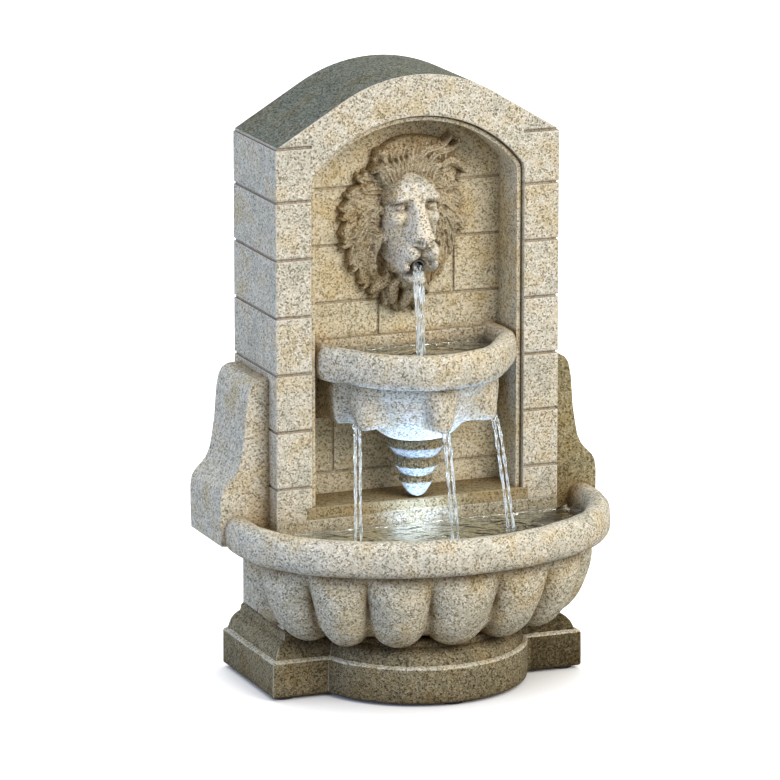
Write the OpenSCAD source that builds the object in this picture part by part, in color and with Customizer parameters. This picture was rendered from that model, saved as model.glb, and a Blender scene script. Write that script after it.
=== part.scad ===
// Indoor wall fountain: lion mask, hanging upper basin and gadrooned lower bowl.
// Millimetres, +Z up, back face at +Y, origin under the centre of the bounding box.

/* [Overall] */
// Width over the two side brackets
overall_w = 250; // [248:1:254]
// Height to the top of the arch
overall_h = 380; // [374:1:386]
// Depth from the front of the bowl rim to the flat back
overall_d = 170; // [168:1:174]
// Gap left round seated round pieces
seat_gap = 0.1; // [0.05:0.05:0.2]

/* [Plinth] */
// Width of the plinth block
plinth_w = 205; // [201:1:209]
// Distance from the back to the front of the plinth block
plinth_d = 90; // [88:1:92]
// Radius of the round projection in front
plinth_bay_r = 69.4; // [68:0.2:71]
// Distance from the back to the centre of the round projection
plinth_bay_c = 68.6; // [67:0.2:70]
// Height of the straight lower band
plinth_band_z = 25; // [23:0.5:27]
// Height of the whole plinth
plinth_top_z = 40; // [39:0.5:41]
// Inset of the pedestal from the plinth edge
plinth_inset = 13.3; // [12.8:0.1:14]
// Wall of the hollow plinth casting
plinth_wall = 18; // [17.5:0.5:18.5]

/* [Rubber feet] */
// Radius of a foot
foot_r = 6.5; // [5:0.5:7]
// Height of a foot
foot_h = 3; // [2.5:0.5:4]
// How far a foot stands out below the plinth
foot_proud = 1.5; // [1:0.25:2]
// Distance of the foot centres from the plinth edge
foot_edge = 9.5; // [9:0.5:10]

/* [Pedestal and bowl] */
// Width of the pedestal
pedestal_w = 178; // [176:1:180]
// Distance from the back to the pedestal front
pedestal_d = 78; // [76:1:79]
// Height of the bond line between bowl casting and wall casting
deck_z = 108; // [106:0.5:109]
// Height where the deck block starts
deck_low_z = 88; // [86:1:90]
// Height of the bowl floor and sump floor
floor_z = 48; // [47:0.5:50]
// Half thickness of the rim across its width
rim_half_t = 8; // [7:0.5:9]
// Height of the middle of the rim
rim_mid_z = 100.3; // [99:0.1:101]
// Half height of the rim
rim_half_h = 11.2; // [10.5:0.1:12]
// Distance from the back to the widest point of the rim
rim_c_back = 72.4; // [71:0.2:74]
// Gap between the rim line and the bracket edge
rim_side_in = 11; // [10:0.5:12]
// Radius of the side curves of the rim
rim_side_r = 78; // [76:1:79]
// Radius of each gadroon lobe
lobe_r = 22; // [21:0.5:23]
// Inset of the lobe centres from the rim line
lobe_in = 28.5; // [28:0.5:30]
// Width of the water slot into the sump
slot_w = 60; // [50:1:64]
// Height of the water slot
slot_h = 14; // [12:1:16]

/* [Wall block] */
// Width of the wall block
wall_w = 186; // [184:1:188]
// Depth of the wall block
wall_d = 73; // [72:0.5:74]
// Drop from the top of the arch to the outer corners
shoulder_drop = 40; // [38:0.5:42]
// Radius of the outer arch
arch_r = 95; // [92:1:98]
// Width of the niche opening
niche_w = 140; // [139:1:141]
// Depth of the niche
niche_d = 32; // [31:0.5:33]
// Radius of the niche arch
niche_r = 88; // [86:1:90]
// Height of masonry over the niche
niche_over = 25.7; // [24.5:0.1:27]
// Radius at the springing of the niche arch
niche_corner_r = 10; // [8:1:12]
// Width of the stepped edge inside the opening
step_w = 3.5; // [3:0.1:4]
// Depth of the stepped edge
step_d = 3.5; // [3:0.1:4]
// Depth of the shadow groove behind the edge
step_groove_d = 1.6; // [1:0.1:2]
// Thickness of the niche back
niche_back_t = 6; // [5:0.5:7]
// Thickness of the rear wall
rear_t = 6; // [5.5:0.5:6.5]
// How far the hollow behind the niche is wider than the opening
hollow_grow = 12; // [11:0.5:13]
// Wall round the hollow pillars
pillar_t = 7; // [6.5:0.5:7.5]
// Height of the niche floor above the bond line
niche_floor_t = 7.5; // [6:0.5:8]
// Height of one course of blocks
course_h = 35.64; // [35:0.02:36]
// Distance from the top to the first course joint
first_joint = 73; // [72:0.5:74]
// Width of a mortar joint
joint_w = 1.8; // [1.4:0.1:2.2]
// Depth of a mortar joint
joint_d = 1.2; // [0.8:0.1:1.6]

/* [Brackets] */
// Distance from the back to the bracket front
bracket_front = 60; // [59:0.5:61]
// Distance from the back to the bracket rear
bracket_rear = 6; // [4:0.5:8]
// Height of the bracket top
bracket_top_z = 195.6; // [192:0.2:198]
// Height of the bracket foot
bracket_low_z = 90; // [89:0.5:91]

/* [Upper basin] */
// Distance from the back to the centre of the front curve
up_c_back = 69; // [68:0.5:70]
// Radius of the front curve at the rim line
up_r = 51; // [50:0.5:52]
// Half the sweep of the front curve in degrees
up_sweep = 56; // [54:1:58]
// Half width of the rim line at the niche
up_half_w = 60; // [59:0.5:60.2]
// Half thickness of the rim
up_half_t = 6; // [5.5:0.25:6.1]
// Height of the middle of the rim
up_mid_z = 205; // [203:0.5:207]
// Half height of the rim
up_half_h = 11; // [10:0.5:12]
// Height of the basin bottom
up_low_z = 153.5; // [152:0.5:155]
// Height where the underside starts to taper
up_skirt_z = 176; // [175:0.5:177]
// Height of the basin floor
up_floor_z = 186; // [184:0.5:188]
// Radius of a drip lobe
drop_r = 12.5; // [12:0.25:13]
// Radius of a drip bore
drip_r = 1.6; // [1.2:0.1:2]
// Lean of the drip bores in degrees
drip_lean = 37; // [35:1:39]

/* [Pendant] */
// Radius of the pendant at its top
pend_r = 18.2; // [17:0.2:19]
// Height of the pendant tip
pend_tip_z = 117.5; // [116.5:0.5:119]

/* [Lion mask] */
// Gap between the upper basin and the mane
mane_gap = 12; // [10:0.5:13]
// Gap between the mane and the top of the niche
crown_gap = 20.3; // [19:0.1:22]
// Half width of the mane
mane_half_w = 42.5; // [40:0.5:44]
// Height of the mane above the mouth
mane_up = 73; // [70:1:75]
// Height of the mane below the mouth
mane_down = 33; // [31:1:34]
// Reach of the nose from the niche back
nose_reach = 45; // [43:0.5:46]
// Radius of the head
head_r = 28; // [27:0.5:29]

/* [Spout and hose] */
// Outer radius of the spout tube
spout_r = 4; // [3.8:0.1:4.2]
// Wall of the spout tube
spout_t = 0.8; // [0.6:0.1:1]
// Wall of the hose
hose_t = 1.2; // [1:0.1:1.5]
// Radius of the hose bend
hose_bend_r = 10; // [9.5:0.25:10.5]
// Distance from the back to the upright hose
hose_back = 18; // [17.5:0.25:18.5]

/* [Pump] */
// Length of the pump body
pump_l = 34; // [33:0.5:36]
// Width of the pump body
pump_w = 36; // [35:0.5:37]
// Height of the pump body
pump_h = 30; // [29:0.5:31]
// Distance from the back to the pump axis
pump_back = 27; // [26.5:0.5:27.5]
// Length of the intake cover
intake_l = 14; // [13:0.5:15]
// Wall of the pump plastics
pump_t = 2; // [1.8:0.1:2.2]
// Radius of the impeller chamber
chamber_r = 12.5; // [12:0.25:12.8]
// Radius of the magnet rotor
magnet_r = 7; // [6.5:0.25:7.5]
// Running gap round the rotor
rotor_gap = 0.8; // [0.6:0.1:1]
// Radius of the ceramic shaft
shaft_r = 1; // [0.9:0.05:1.2]
// Running clearance on the shaft
shaft_clear = 0.05; // [0.03:0.01:0.08]
// Height of a suction cup
cup_h = 6; // [5:0.5:7]
// Travel of the flow slider
slider_travel = 6; // [5:0.5:7]

/* [Light] */
// Radius of the lamp housing
lamp_r = 13; // [12:0.5:14]
// Height of the lamp housing
lamp_h = 12; // [11:0.5:13]
// Distance from the back to the lamp
lamp_back = 91; // [90:0.5:93]

/* [Wiring and rear] */
// Radius of the leads
lead_r = 1.6; // [1.4:0.1:1.8]
// Half width of the rear opening
door_half_w = 50; // [48:1:52]
// Height of the lower edge of the rear opening
door_low_z = 150; // [148:1:152]
// Height of the upper edge of the rear opening
door_top_z = 290; // [286:1:292]
// Thickness of the rear cover plate
door_t = 4; // [3.5:0.25:4.5]
// Radius of the power inlet body
inlet_r = 5.5; // [5.2:0.1:5.8]
// Distance of the power inlet from the centre line
inlet_x = 59; // [58:0.5:60]
// Height of the power inlet
inlet_z = 124; // [123:0.5:126]

/* [Hidden] */
$fn = 48;
big = 400;
over = 0.5;
y_back = overall_d / 2;
y_front = -overall_d / 2;

plinth_low_z = foot_proud;
bay_y = y_back - plinth_bay_c;
block_y = y_back - plinth_d;
plinth_rear = 2;
plinth_rear_y = y_back - plinth_rear;
roof_t = 7;
ogee = [[0, 0], [0.6, 2.4], [2, 5.4], [4.6, 8.2], [5.6, 9], [8, 9], [8, 10.4], [10.4, 10.8], [12.2, 12.2]];
ogee_h = 15;
ogee_w = 13.3;

ped_y = y_back - pedestal_d;
ped_rear_y = plinth_rear_y;
wall_y = y_back - wall_d;
rim_y = y_back - rim_c_back;
rim_a = overall_w / 2 - rim_side_in;
rim_b = rim_y - y_front - rim_half_t;
side_h = rim_a - rim_side_r;
side_b = rim_b - rim_side_r;
front_k = (side_h * side_h - side_b * side_b) / (2 * side_b);
front_r = rim_b + front_k;
front_sweep = atan(side_h / front_k);
bracket_y = y_back - bracket_front;
bracket_rear_y = y_back - bracket_rear;
end_turn = 1.2 * asin((bracket_y - rim_y) / (rim_side_r - lobe_in));
lap = 0.03;
lap_turn = 0.4;
lap_run = 0.5;
lobe_turns = [-67, -35, -18, 0, 18, 35, 67];
lobe_lift = 0.6;
lobe_z = plinth_top_z + lobe_r + lobe_lift;
core_under = 2;
core_h = 58;
core_out = [[-36, -core_under], [-36, 0], [-27, 6], [-21, 12], [-15, 22], [-12, 35], [-11, 52], [0, 56],
  [0, core_h], [-60, core_h], [-60, -core_under]];
rim_trim = 0.3;
core_cut = [[-16, 2], [-18, -8], [-22, -18], [-28, -28], [-36, -36]];
core_fill = 58;
core_low_z = plinth_top_z - core_under;
core_top_z = plinth_top_z + core_h;
sump_wall = 9;
sump_half_w = pedestal_w / 2 - sump_wall;
sump_front_y = wall_y + 6;
sump_rear_y = y_back - 8;
slot_z = floor_z + 2;
ped_joint_z = 70;

corner_z = overall_h - shoulder_drop;
arch_z = overall_h - arch_r;
corner_x = wall_w / 2;
corner_rise = corner_z - arch_z;
corner_dist = sqrt(corner_x * corner_x + corner_rise * corner_rise);
tangent_turn = atan2(corner_rise, corner_x) + acos(arch_r / corner_dist);
tangent_x = arch_r * cos(tangent_turn);
tangent_z = arch_z + arch_r * sin(tangent_turn);
niche_y = wall_y + niche_d;
niche_arch_z = overall_h - niche_over - niche_r;
niche_low_z = deck_z + niche_floor_t;
hollow_y = niche_y + niche_back_t;
hollow_rear_y = y_back - rear_t;
joint_levels = [for (i = [0 : 5]) overall_h - first_joint - i * course_h];
brick_cuts = [[-33, 0.3, 0], [-14, 1.05, 2], [36, 0.55, 1], [-8, 3.3, 3], [38, 3.0, 3], [-44, 4.2, 4], [22, 4.15, 4]];

step_x = niche_w / 2 - step_w;
up_y = y_back - up_c_back;
up_side = [up_r * sin(up_sweep), up_y - up_r * cos(up_sweep)];
up_run = (up_half_w - up_side[0]) / cos(up_sweep);
up_knee = [up_half_w, up_side[1] + up_run * sin(up_sweep)];
core_r = up_r - 12;
lobe_flare = [up_side[0] + 9 * cos(up_sweep), up_side[1] + 9 * sin(up_sweep)];
drop_back_y = up_y + 14;
drop_z = up_skirt_z - 1;
drop_in = 11.4;
up_slope = 8;
up_back_t = 5;
drip_out = 7.7;
drip_z = drop_z - 9.9;
drip_l = 30;

ring = [[18.2, 0], [16.4, -7.6], [12.4, -11.6], [14.2, -11.8], [12.2, -19], [9, -23], [10.4, -23.2], [7, -30]];
pend_h = up_low_z - pend_tip_z;

mask_k = (overall_h - niche_over - crown_gap - up_mid_z - up_half_h - mane_gap) / (mane_up + mane_down);
mouth_z = up_mid_z + up_half_h + mane_gap + m(mane_down);
head_y = niche_y - m(6);
nose_y = niche_y - m(nose_reach);
head_z = mouth_z + m(31);
lock_turns = [9, 31, 54, 77, 100, 123, 146, 167];
lock_r = m(9);
tip_share = 0.42;
dome_r = m(46);
dome_back = m(27);

spout_y0 = nose_y + m(13);
spout_y1 = hollow_y + 8;
hose_y = y_back - hose_back;
pump_y = y_back - pump_back;
hose_in_r = spout_r + seat_gap;
hose_out_r = hose_in_r + hose_t;

pump_z = floor_z + cup_h;
axis_z = pump_z + pump_h / 2;
cap_t = 2;
chamber_w = 8;
body_x0 = -chamber_w / 2 - cap_t;
body_x1 = body_x0 + pump_l;
well_r = magnet_r + rotor_gap;
well_x1 = 21;
magnet_l = 14;
pipe_r = 3;
barb_h = 14;
blade_t = 1.2;
blade_l = 10;
blade_w = 5;
hub_r = 3.2;
intake_r = 4.5;
slit_w = 2;
slit_l = 18;
slit_gap = 4.4;
sponge_gap = 0.4;
cover_x0 = body_x0 - intake_l;
cup_in = 7;
cup_r = 5;
knob_r = 2.2;
rail_z = 11.6;
rail_h = 1.6;
rail_play = 0.3;
rail_half = 8;
groove_half = rail_half + slider_travel + rail_play;

lamp_y = y_back - lamp_back;
lamp_t = 2.5;
lens_t = 3;
seal_t = 1;
board_t = 1.6;
chip_r = 1.8;
lead_out = 3;

door_rebate = 4;
door_fit = 0.3;
latch_t = 3;
latch_l = 8;
flange_r = 7.5;
flange_t = 2;
inlet_l = 16;
plug_r = 3.2;
pin_r = 1;
split_x = 38;
split_l = 22;
split_w = 9;
split_h = 12;
split_z = 118;
lead_rise_y = hollow_rear_y - split_w / 2;
lamp_lane = 6;
pump_lane = 5;
lamp_lead_x = split_x + lamp_lane;
pump_lead_x = split_x - pump_lane;
lead_in = 8;
lamp_lead_y = sump_front_y + lead_in;
lead_up = 6;
pump_lead_z = pump_z + lead_up;

// Shared helpers
module along_y(y0, y1) {
  translate([0, y1, 0])
    rotate([90, 0, 0])
      linear_extrude(y1 - y0)
        children();
}

module along_x(x0, x1) {
  translate([x0, 0, 0])
    rotate([90, 0, 90])
      linear_extrude(x1 - x0)
        children();
}

module block(x0, x1, y0, y1, z0, z1) {
  translate([x0, y0, z0])
    cube([x1 - x0, y1 - y0, z1 - z0]);
}

module both_sides() {
  children();
  mirror([1, 0, 0])
    children();
}

module rod_x(x0, x1, r) {
  translate([x0, 0, 0])
    rotate([0, 90, 0])
      cylinder(h = x1 - x0, r = r);
}

module rod_y(y0, y1, r) {
  translate([0, y0, 0])
    rotate([-90, 0, 0])
      cylinder(h = y1 - y0, r = r);
}

module leg(p, q, r) {
  d = q - p;
  translate(p)
    rotate([0, acos(d[2] / norm(d)), atan2(d[1], d[0])])
      cylinder(h = norm(d), r = r);
}

module lead_run(points, r) {
  for (i = [0 : len(points) - 2])
    leg(points[i], points[i + 1], r);
  for (i = [1 : len(points) - 2])
    translate(points[i])
      sphere(r = r);
}

// Plinth with its moulded top edge
module ogee_side(edge) {
  inset = [for (p = ogee) [edge - p[0] * plinth_inset / ogee_w,
    plinth_band_z + p[1] * (plinth_top_z - plinth_band_z) / ogee_h]];
  polygon(concat([[0, plinth_low_z], [edge, plinth_low_z]], inset,
    [[edge - plinth_inset, plinth_top_z], [0, plinth_top_z]]));
}

module plinth() {
  color([0.76, 0.69, 0.55])
  difference() {
    union() {
      intersection() {
        along_y(block_y, plinth_rear_y)
          both_sides()
            ogee_side(plinth_w / 2);
        translate([0, plinth_rear_y, 0])
          mirror([0, 1, 0])
            along_x(-plinth_w / 2, plinth_w / 2)
              ogee_side(plinth_rear_y - block_y);
      }
      intersection() {
        translate([0, bay_y, 0])
          rotate_extrude()
            ogee_side(plinth_bay_r);
        block(-big, big, -big, bay_y, 0, big);
      }
    }
    block(-plinth_w / 2 + plinth_wall, plinth_w / 2 - plinth_wall, block_y + plinth_wall,
      plinth_rear_y - plinth_wall, 0, plinth_top_z - roof_t);
    translate([0, bay_y, 0])
      cylinder(h = plinth_top_z - roof_t, r = plinth_bay_r - plinth_wall);
    foot_places(foot_r + seat_gap);
  }
}

module foot_places(r) {
  side_x = plinth_w / 2 - foot_edge;
  for (p = [[-side_x, block_y + foot_edge], [side_x, block_y + foot_edge],
      [-side_x, plinth_rear_y - foot_edge], [side_x, plinth_rear_y - foot_edge],
      [0, bay_y - plinth_bay_r + foot_edge]])
    translate(p)
      cylinder(h = foot_h, r = r);
}

module rubber_feet() {
  color([0.12, 0.12, 0.12])
    foot_places(foot_r);
}

// Lower bowl
function roll_arc(half_t, z, a0, a1, n) = [for (i = [0 : n])
  [half_t * cos(a0 + (a1 - a0) * i / n), z + half_t * sin(a0 + (a1 - a0) * i / n)]];

module roll(half_t, mid_z, half_h, steps = 8) {
  rise = half_h - half_t;
  polygon(concat(roll_arc(half_t, mid_z + rise, 0, 180, steps),
    roll_arc(half_t, mid_z - rise, 180, 360, steps)));
}

module half_roll(half_t, mid_z, half_h, steps = 4) {
  rise = half_h - half_t;
  polygon(concat([[0, mid_z - half_h]], roll_arc(half_t, mid_z - rise, -90 + 90 / steps, 0, steps - 1),
    roll_arc(half_t, mid_z + rise, 0, 90 - 90 / steps, steps - 1), [[0, mid_z + half_h]]));
}

module bowl_sweep() {
  translate([0, rim_y + front_k, 0])
    rotate([0, 0, -90 - front_sweep])
      rotate_extrude(angle = 2 * front_sweep)
        translate([front_r, 0])
          children();
  both_sides()
    translate([side_h, rim_y, 0])
      rotate([0, 0, front_sweep - 90 - lap_turn])
        rotate_extrude(angle = 90 - front_sweep + lap_turn + end_turn)
          translate([rim_side_r + lap, 0])
            children();
}

module bowl_plan(inset) {
  reach = front_r - inset;
  fan = reach * tan(front_sweep);
  intersection() {
    translate([0, rim_y + front_k])
      circle(r = reach);
    polygon([[side_h, rim_y], [fan, rim_y + front_k - reach], [-fan, rim_y + front_k - reach], [-side_h, rim_y]]);
  }
  for (s = [-1, 1])
    translate([s * side_h, rim_y])
      circle(r = rim_side_r - inset);
}

module core_profile() {
  polygon([for (p = core_out) [p[0], plinth_top_z + p[1]]]);
}

module cavity_profile() {
  edge = rim_trim - rim_half_t;
  polygon(concat([[edge, big], [edge, deck_low_z + 8]], [for (p = core_cut) [p[0], deck_low_z + p[1]]],
    [[-46, floor_z], [-70, floor_z], [-70, big]]));
}

module capsule(r, h) {
  sphere(r = r);
  cylinder(h = h, r = r);
}

module lobe(turn) {
  bend = abs(turn) > front_sweep;
  c = bend ? [sign(turn) * side_h, rim_y] : [0, rim_y + front_k];
  reach = (bend ? rim_side_r : front_r) - lobe_in;
  translate([c[0] + reach * sin(turn), c[1] - reach * cos(turn), lobe_z])
    capsule(lobe_r, rim_mid_z - lobe_z);
}

module bowl_body() {
  bowl_sweep()
    core_profile();
  translate([0, 0, core_low_z])
    linear_extrude(core_top_z - core_low_z)
      bowl_plan(core_fill);
  for (t = lobe_turns)
    lobe(t);
  block(-rim_a + core_fill, rim_a - core_fill, rim_y - 8, bracket_y, core_low_z, core_top_z);
}

module bowl_cavity() {
  intersection() {
    union() {
      bowl_sweep()
        cavity_profile();
      translate([0, 0, floor_z])
        linear_extrude(big)
          bowl_plan(core_fill);
    }
    block(-big, big, -big, wall_y, floor_z, big);
  }
}

module lower_basin() {
  color([0.79, 0.72, 0.58])
  difference() {
    union() {
      difference() {
        union() {
          bowl_body();
          bowl_sweep()
            roll(rim_half_t, rim_mid_z, rim_half_h);
        }
        block(-big, big, -big, big, 0, plinth_top_z);
        block(-big, big, bracket_y, big, 0, big);
        block(-wall_w / 2, wall_w / 2, wall_y, big, deck_low_z, big);
      }
      block(-pedestal_w / 2, pedestal_w / 2, ped_y, ped_rear_y, plinth_top_z, deck_low_z + over);
      block(-wall_w / 2, wall_w / 2, wall_y, y_back, deck_low_z, deck_z);
    }
    bowl_cavity();
    block(-sump_half_w, sump_half_w, sump_front_y, sump_rear_y, floor_z, big);
    block(-slot_w / 2, slot_w / 2, wall_y - 6, sump_front_y + over, slot_z, slot_z + slot_h);
    pedestal_joints();
  }
}

module pedestal_joints() {
  both_sides() {
    block(pedestal_w / 2 - joint_d, pedestal_w / 2 + over, bracket_y, ped_rear_y, ped_joint_z,
      ped_joint_z + joint_w);
    for (p = [[bracket_y + 6, ped_joint_z, deck_low_z], [bracket_y + 32, plinth_top_z, ped_joint_z]])
      block(pedestal_w / 2 - joint_d, pedestal_w / 2 + over, p[0], p[0] + joint_w, p[1], p[2]);
  }
}

// Wall block with the arched niche
module arch_outline(r, low_z) {
  polygon([[-corner_x, low_z], [corner_x, low_z], [corner_x, corner_z], [tangent_x, tangent_z],
    [-tangent_x, tangent_z], [-corner_x, corner_z]]);
  intersection() {
    translate([0, arch_z])
      circle(r = r);
    translate([-tangent_x, tangent_z - over])
      square([2 * tangent_x, big]);
  }
}

module niche_outline(inset, low_z) {
  half = niche_w / 2 - inset;
  r = niche_r - inset;
  cr = niche_corner_r;
  cx = half - cr;
  cz = niche_arch_z + sqrt((r - cr) * (r - cr) - cx * cx);
  lean = cx / (cz - niche_arch_z);
  translate([-half, low_z])
    square([2 * half, cz - low_z]);
  for (s = [-1, 1])
    translate([s * cx, cz])
      circle(r = cr);
  intersection() {
    translate([0, niche_arch_z])
      circle(r = r);
    polygon([[0, niche_arch_z], [lean * big, niche_arch_z + big], [-lean * big, niche_arch_z + big]]);
  }
}

module wall_joints() {
  for (z = concat([corner_z], joint_levels))
    both_sides() {
      block(niche_w / 2 - over, corner_x + over, wall_y - over, wall_y + joint_d,
        z - joint_w / 2, z + joint_w / 2);
      block(corner_x - joint_d, corner_x + over, wall_y - over, y_back + over,
        z - joint_w / 2, z + joint_w / 2);
    }
}

module niche_joints() {
  for (z = joint_levels)
    block(-step_x - over, step_x + over, niche_y - over, niche_y + joint_d,
      z - joint_w / 2, z + joint_w / 2);
  for (b = brick_cuts)
    block(b[0] - joint_w / 2, b[0] + joint_w / 2, niche_y - over, niche_y + joint_d,
      overall_h - first_joint - (b[2] + 1) * course_h, overall_h - first_joint - b[2] * course_h);
}

module wall_block() {
  color([0.74, 0.67, 0.53])
  difference() {
    along_y(wall_y, y_back)
      arch_outline(arch_r, deck_z);
    along_y(wall_y - over, wall_y + step_d)
      niche_outline(0, niche_low_z);
    along_y(wall_y, wall_y + step_d + step_groove_d)
      difference() {
        niche_outline(0, niche_low_z);
        niche_outline(step_w / 3, niche_low_z - over);
      }
    along_y(wall_y, niche_y)
      niche_outline(step_w, niche_low_z);
    along_y(hollow_y, hollow_rear_y)
      niche_outline(-hollow_grow, deck_z - over);
    both_sides()
      block(niche_w / 2 + pillar_t, corner_x - pillar_t, wall_y + pillar_t, hollow_y + over,
        deck_z - over, niche_arch_z);
    block(-door_half_w, door_half_w, hollow_rear_y - over, y_back + over, door_low_z, door_top_z);
    block(-door_half_w - door_rebate, door_half_w + door_rebate, y_back - door_t - door_fit, y_back + over,
      door_low_z - door_rebate, door_top_z + door_rebate);
    translate([0, 0, mouth_z])
      rod_y(niche_y - over, hollow_y + over, spout_r + seat_gap);
    translate([inlet_x, 0, inlet_z]) {
      rod_y(hollow_rear_y - over, y_back, inlet_r + seat_gap);
      rod_y(y_back - flange_t, y_back + over, flange_r + seat_gap);
    }
    wall_joints();
    niche_joints();
  }
}

// Scrolled side brackets
module right_bracket() {
  top = bracket_top_z;
  low = bracket_low_z;
  tall = top - low;
  out = overall_w / 2 - corner_x;
  shape = [[0.22, 0.995], [0.33, 0.975], [0.4, 0.94], [0.45, 0.87], [0.47, 0.8], [0.5, 0.68], [0.55, 0.58],
    [0.6, 0.5], [0.68, 0.445], [0.78, 0.41], [0.9, 0.375], [0.97, 0.34], [1, 0.28], [1, 0.18], [0.985, 0.03]];
  color([0.72, 0.65, 0.51])
    along_y(bracket_y, bracket_rear_y)
      polygon(concat([[corner_x, low], [corner_x, top]],
        [for (p = shape) [corner_x + p[0] * out, low + p[1] * tall]]));
}

module left_bracket() {
  mirror([1, 0, 0])
    right_bracket();
}

// Upper basin with its drip lobes
module up_plan(inset) {
  r = up_r - inset;
  a = [up_side[0] - inset * sin(up_sweep), up_side[1] + inset * cos(up_sweep)];
  b = [up_half_w - inset, up_knee[1] + inset * (1 - sin(up_sweep)) / cos(up_sweep)];
  intersection() {
    union() {
      translate([0, up_y])
        circle(r = r);
      polygon([a, b, [b[0], niche_y], [-b[0], niche_y], [-b[0], b[1]], [-a[0], a[1]]]);
    }
    translate([-big, niche_y - 2 * big])
      square([2 * big, 2 * big]);
  }
}

module up_rim() {
  translate([0, up_y, 0])
    rotate([0, 0, -90 - up_sweep])
      rotate_extrude(angle = 2 * up_sweep)
        translate([up_r, 0])
          roll(up_half_t, up_mid_z, up_half_h);
  both_sides() {
    translate([up_knee[0], up_knee[1], 0])
      rotate([0, 0, up_sweep - 90])
        along_y(-up_run - lap_run, lap_run)
          roll(up_half_t + lap, up_mid_z, up_half_h + lap);
    translate([up_knee[0], up_knee[1], 0])
      rotate_extrude()
        half_roll(up_half_t, up_mid_z, up_half_h);
    along_y(up_knee[1] - lap_run, niche_y)
      translate([up_half_w, 0])
        roll(up_half_t + lap, up_mid_z, up_half_h + lap);
  }
}

module drop_lobe() {
  translate([0, 0, drop_z])
    capsule(drop_r, up_mid_z - drop_z);
}

module drip_bore() {
  translate([0, -drip_out, drip_z])
    rotate([-drip_lean, 0, 0])
      translate([0, 0, -drop_r])
        cylinder(h = drip_l + drop_r, r = drip_r);
}

module up_places() {
  translate([0, up_y - up_r + drop_in, 0])
    children();
  both_sides()
    translate([lobe_flare[0] - drop_in * sin(up_sweep), lobe_flare[1] + drop_in * cos(up_sweep), 0])
      rotate([0, 0, up_sweep])
        children();
}

module upper_basin() {
  color([0.8, 0.73, 0.6])
  difference() {
    union() {
      up_rim();
      translate([0, 0, up_skirt_z])
        linear_extrude(up_mid_z - up_skirt_z)
          up_plan(12);
      translate([0, 0, up_mid_z - up_half_h + up_half_t])
        linear_extrude(2 * (up_half_h - up_half_t))
          up_plan(0);
      intersection() {
        translate([0, up_y, up_low_z])
          cylinder(h = up_skirt_z - up_low_z, r1 = pend_r, r2 = core_r);
        block(-big, big, -big, niche_y, 0, big);
      }
      up_places()
        drop_lobe();
      both_sides()
        translate([up_half_w - drop_in, drop_back_y, 0])
          drop_lobe();
    }
    intersection() {
      union() {
        translate([0, 0, up_floor_z + up_slope])
          linear_extrude(big)
            up_plan(up_half_t - rim_trim);
        translate([0, up_y, up_floor_z])
          cylinder(h = up_slope + over, r1 = core_r - 3, r2 = up_r - up_half_t - 1);
      }
      block(-big, big, -big, niche_y - up_back_t, 0, big);
    }
    up_places()
      drip_bore();
  }
}

module pendant() {
  color([0.83, 0.77, 0.65])
    translate([0, up_y, up_low_z])
      rotate_extrude()
        polygon(concat([[0, 0]], [for (p = ring) [p[0] * pend_r / ring[0][0], p[1] * pend_h / 36]],
          [[3.2, -pend_h + 1.2], [0, -pend_h]]));
}

// Lion mask, in step with the height that the niche leaves it
function m(length) = length * mask_k;

module cone_lock(p, turn, l, r) {
  translate(p)
    rotate([0, turn, 0]) {
      sphere(r = r);
      cylinder(h = l, r1 = r, r2 = r * tip_share);
      translate([0, 0, l])
        sphere(r = r * tip_share);
    }
}

module mane_ring(grow, y, shift) {
  both_sides()
    for (t = lock_turns) {
      a = t + shift;
      reach = m(cos(a) > 0 ? mane_up - 28 : mane_down + 24);
      half = m(mane_half_w);
      p = [grow * half * sin(a) * 0.62, y, head_z - m(6) + grow * reach * cos(a) * 0.66];
      cone_lock(p, a, 0.29 * norm([half * sin(a), reach * cos(a)]), lock_r);
    }
}

module lion_mask() {
  color([0.7, 0.61, 0.46])
  difference() {
    intersection() {
      union() {
        translate([0, niche_y + dome_back, head_z - m(8)])
          sphere(r = dome_r);
        mane_ring(1, niche_y - m(3), 0);
        mane_ring(0.72, niche_y - m(9), 9);
        translate([0, head_y, head_z])
          sphere(r = m(head_r));
        translate([0, head_y + m(2), head_z - m(20)])
          sphere(r = m(head_r - 3));
        translate([0, nose_y + m(17), mouth_z + m(13)])
          sphere(r = m(15));
        both_sides() {
          translate([m(7), nose_y + m(14), mouth_z + m(9)])
            sphere(r = m(10));
          translate([m(9.5), niche_y - m(26), head_z + m(12)])
            sphere(r = m(8));
          translate([m(16), niche_y - m(22), head_z - m(8)])
            sphere(r = m(9));
        }
        translate([0, nose_y + m(6), mouth_z + m(24)])
          sphere(r = m(6));
        translate([0, nose_y + m(15), mouth_z + m(24)])
          rotate([-50, 0, 0])
            cylinder(h = m(34), r1 = m(7), r2 = m(6));
        translate([0, nose_y + m(21), mouth_z - m(7)])
          sphere(r = m(9));
      }
      block(-m(mane_half_w), m(mane_half_w), -big, niche_y, mouth_z - m(mane_down), mouth_z + m(mane_up));
    }
    translate([0, 0, mouth_z])
      rod_y(-big, niche_y + over, spout_r + seat_gap);
    both_sides()
      translate([m(9.5), niche_y - m(33), head_z + m(5)])
        sphere(r = m(3.4));
  }
}

// Spout and hose
module mouth_spout() {
  color([0.3, 0.3, 0.3])
    translate([0, 0, mouth_z])
      difference() {
        rod_y(spout_y0, spout_y1, spout_r);
        rod_y(spout_y0 - over, spout_y1 + over, spout_r - spout_t);
      }
}

module ring_shape() {
  difference() {
    circle(r = hose_out_r);
    circle(r = hose_in_r);
  }
}

module hose_bend(r, turn) {
  rotate([90, 0, 90])
    rotate_extrude(angle = turn)
      translate([r, 0])
        ring_shape();
}

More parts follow.
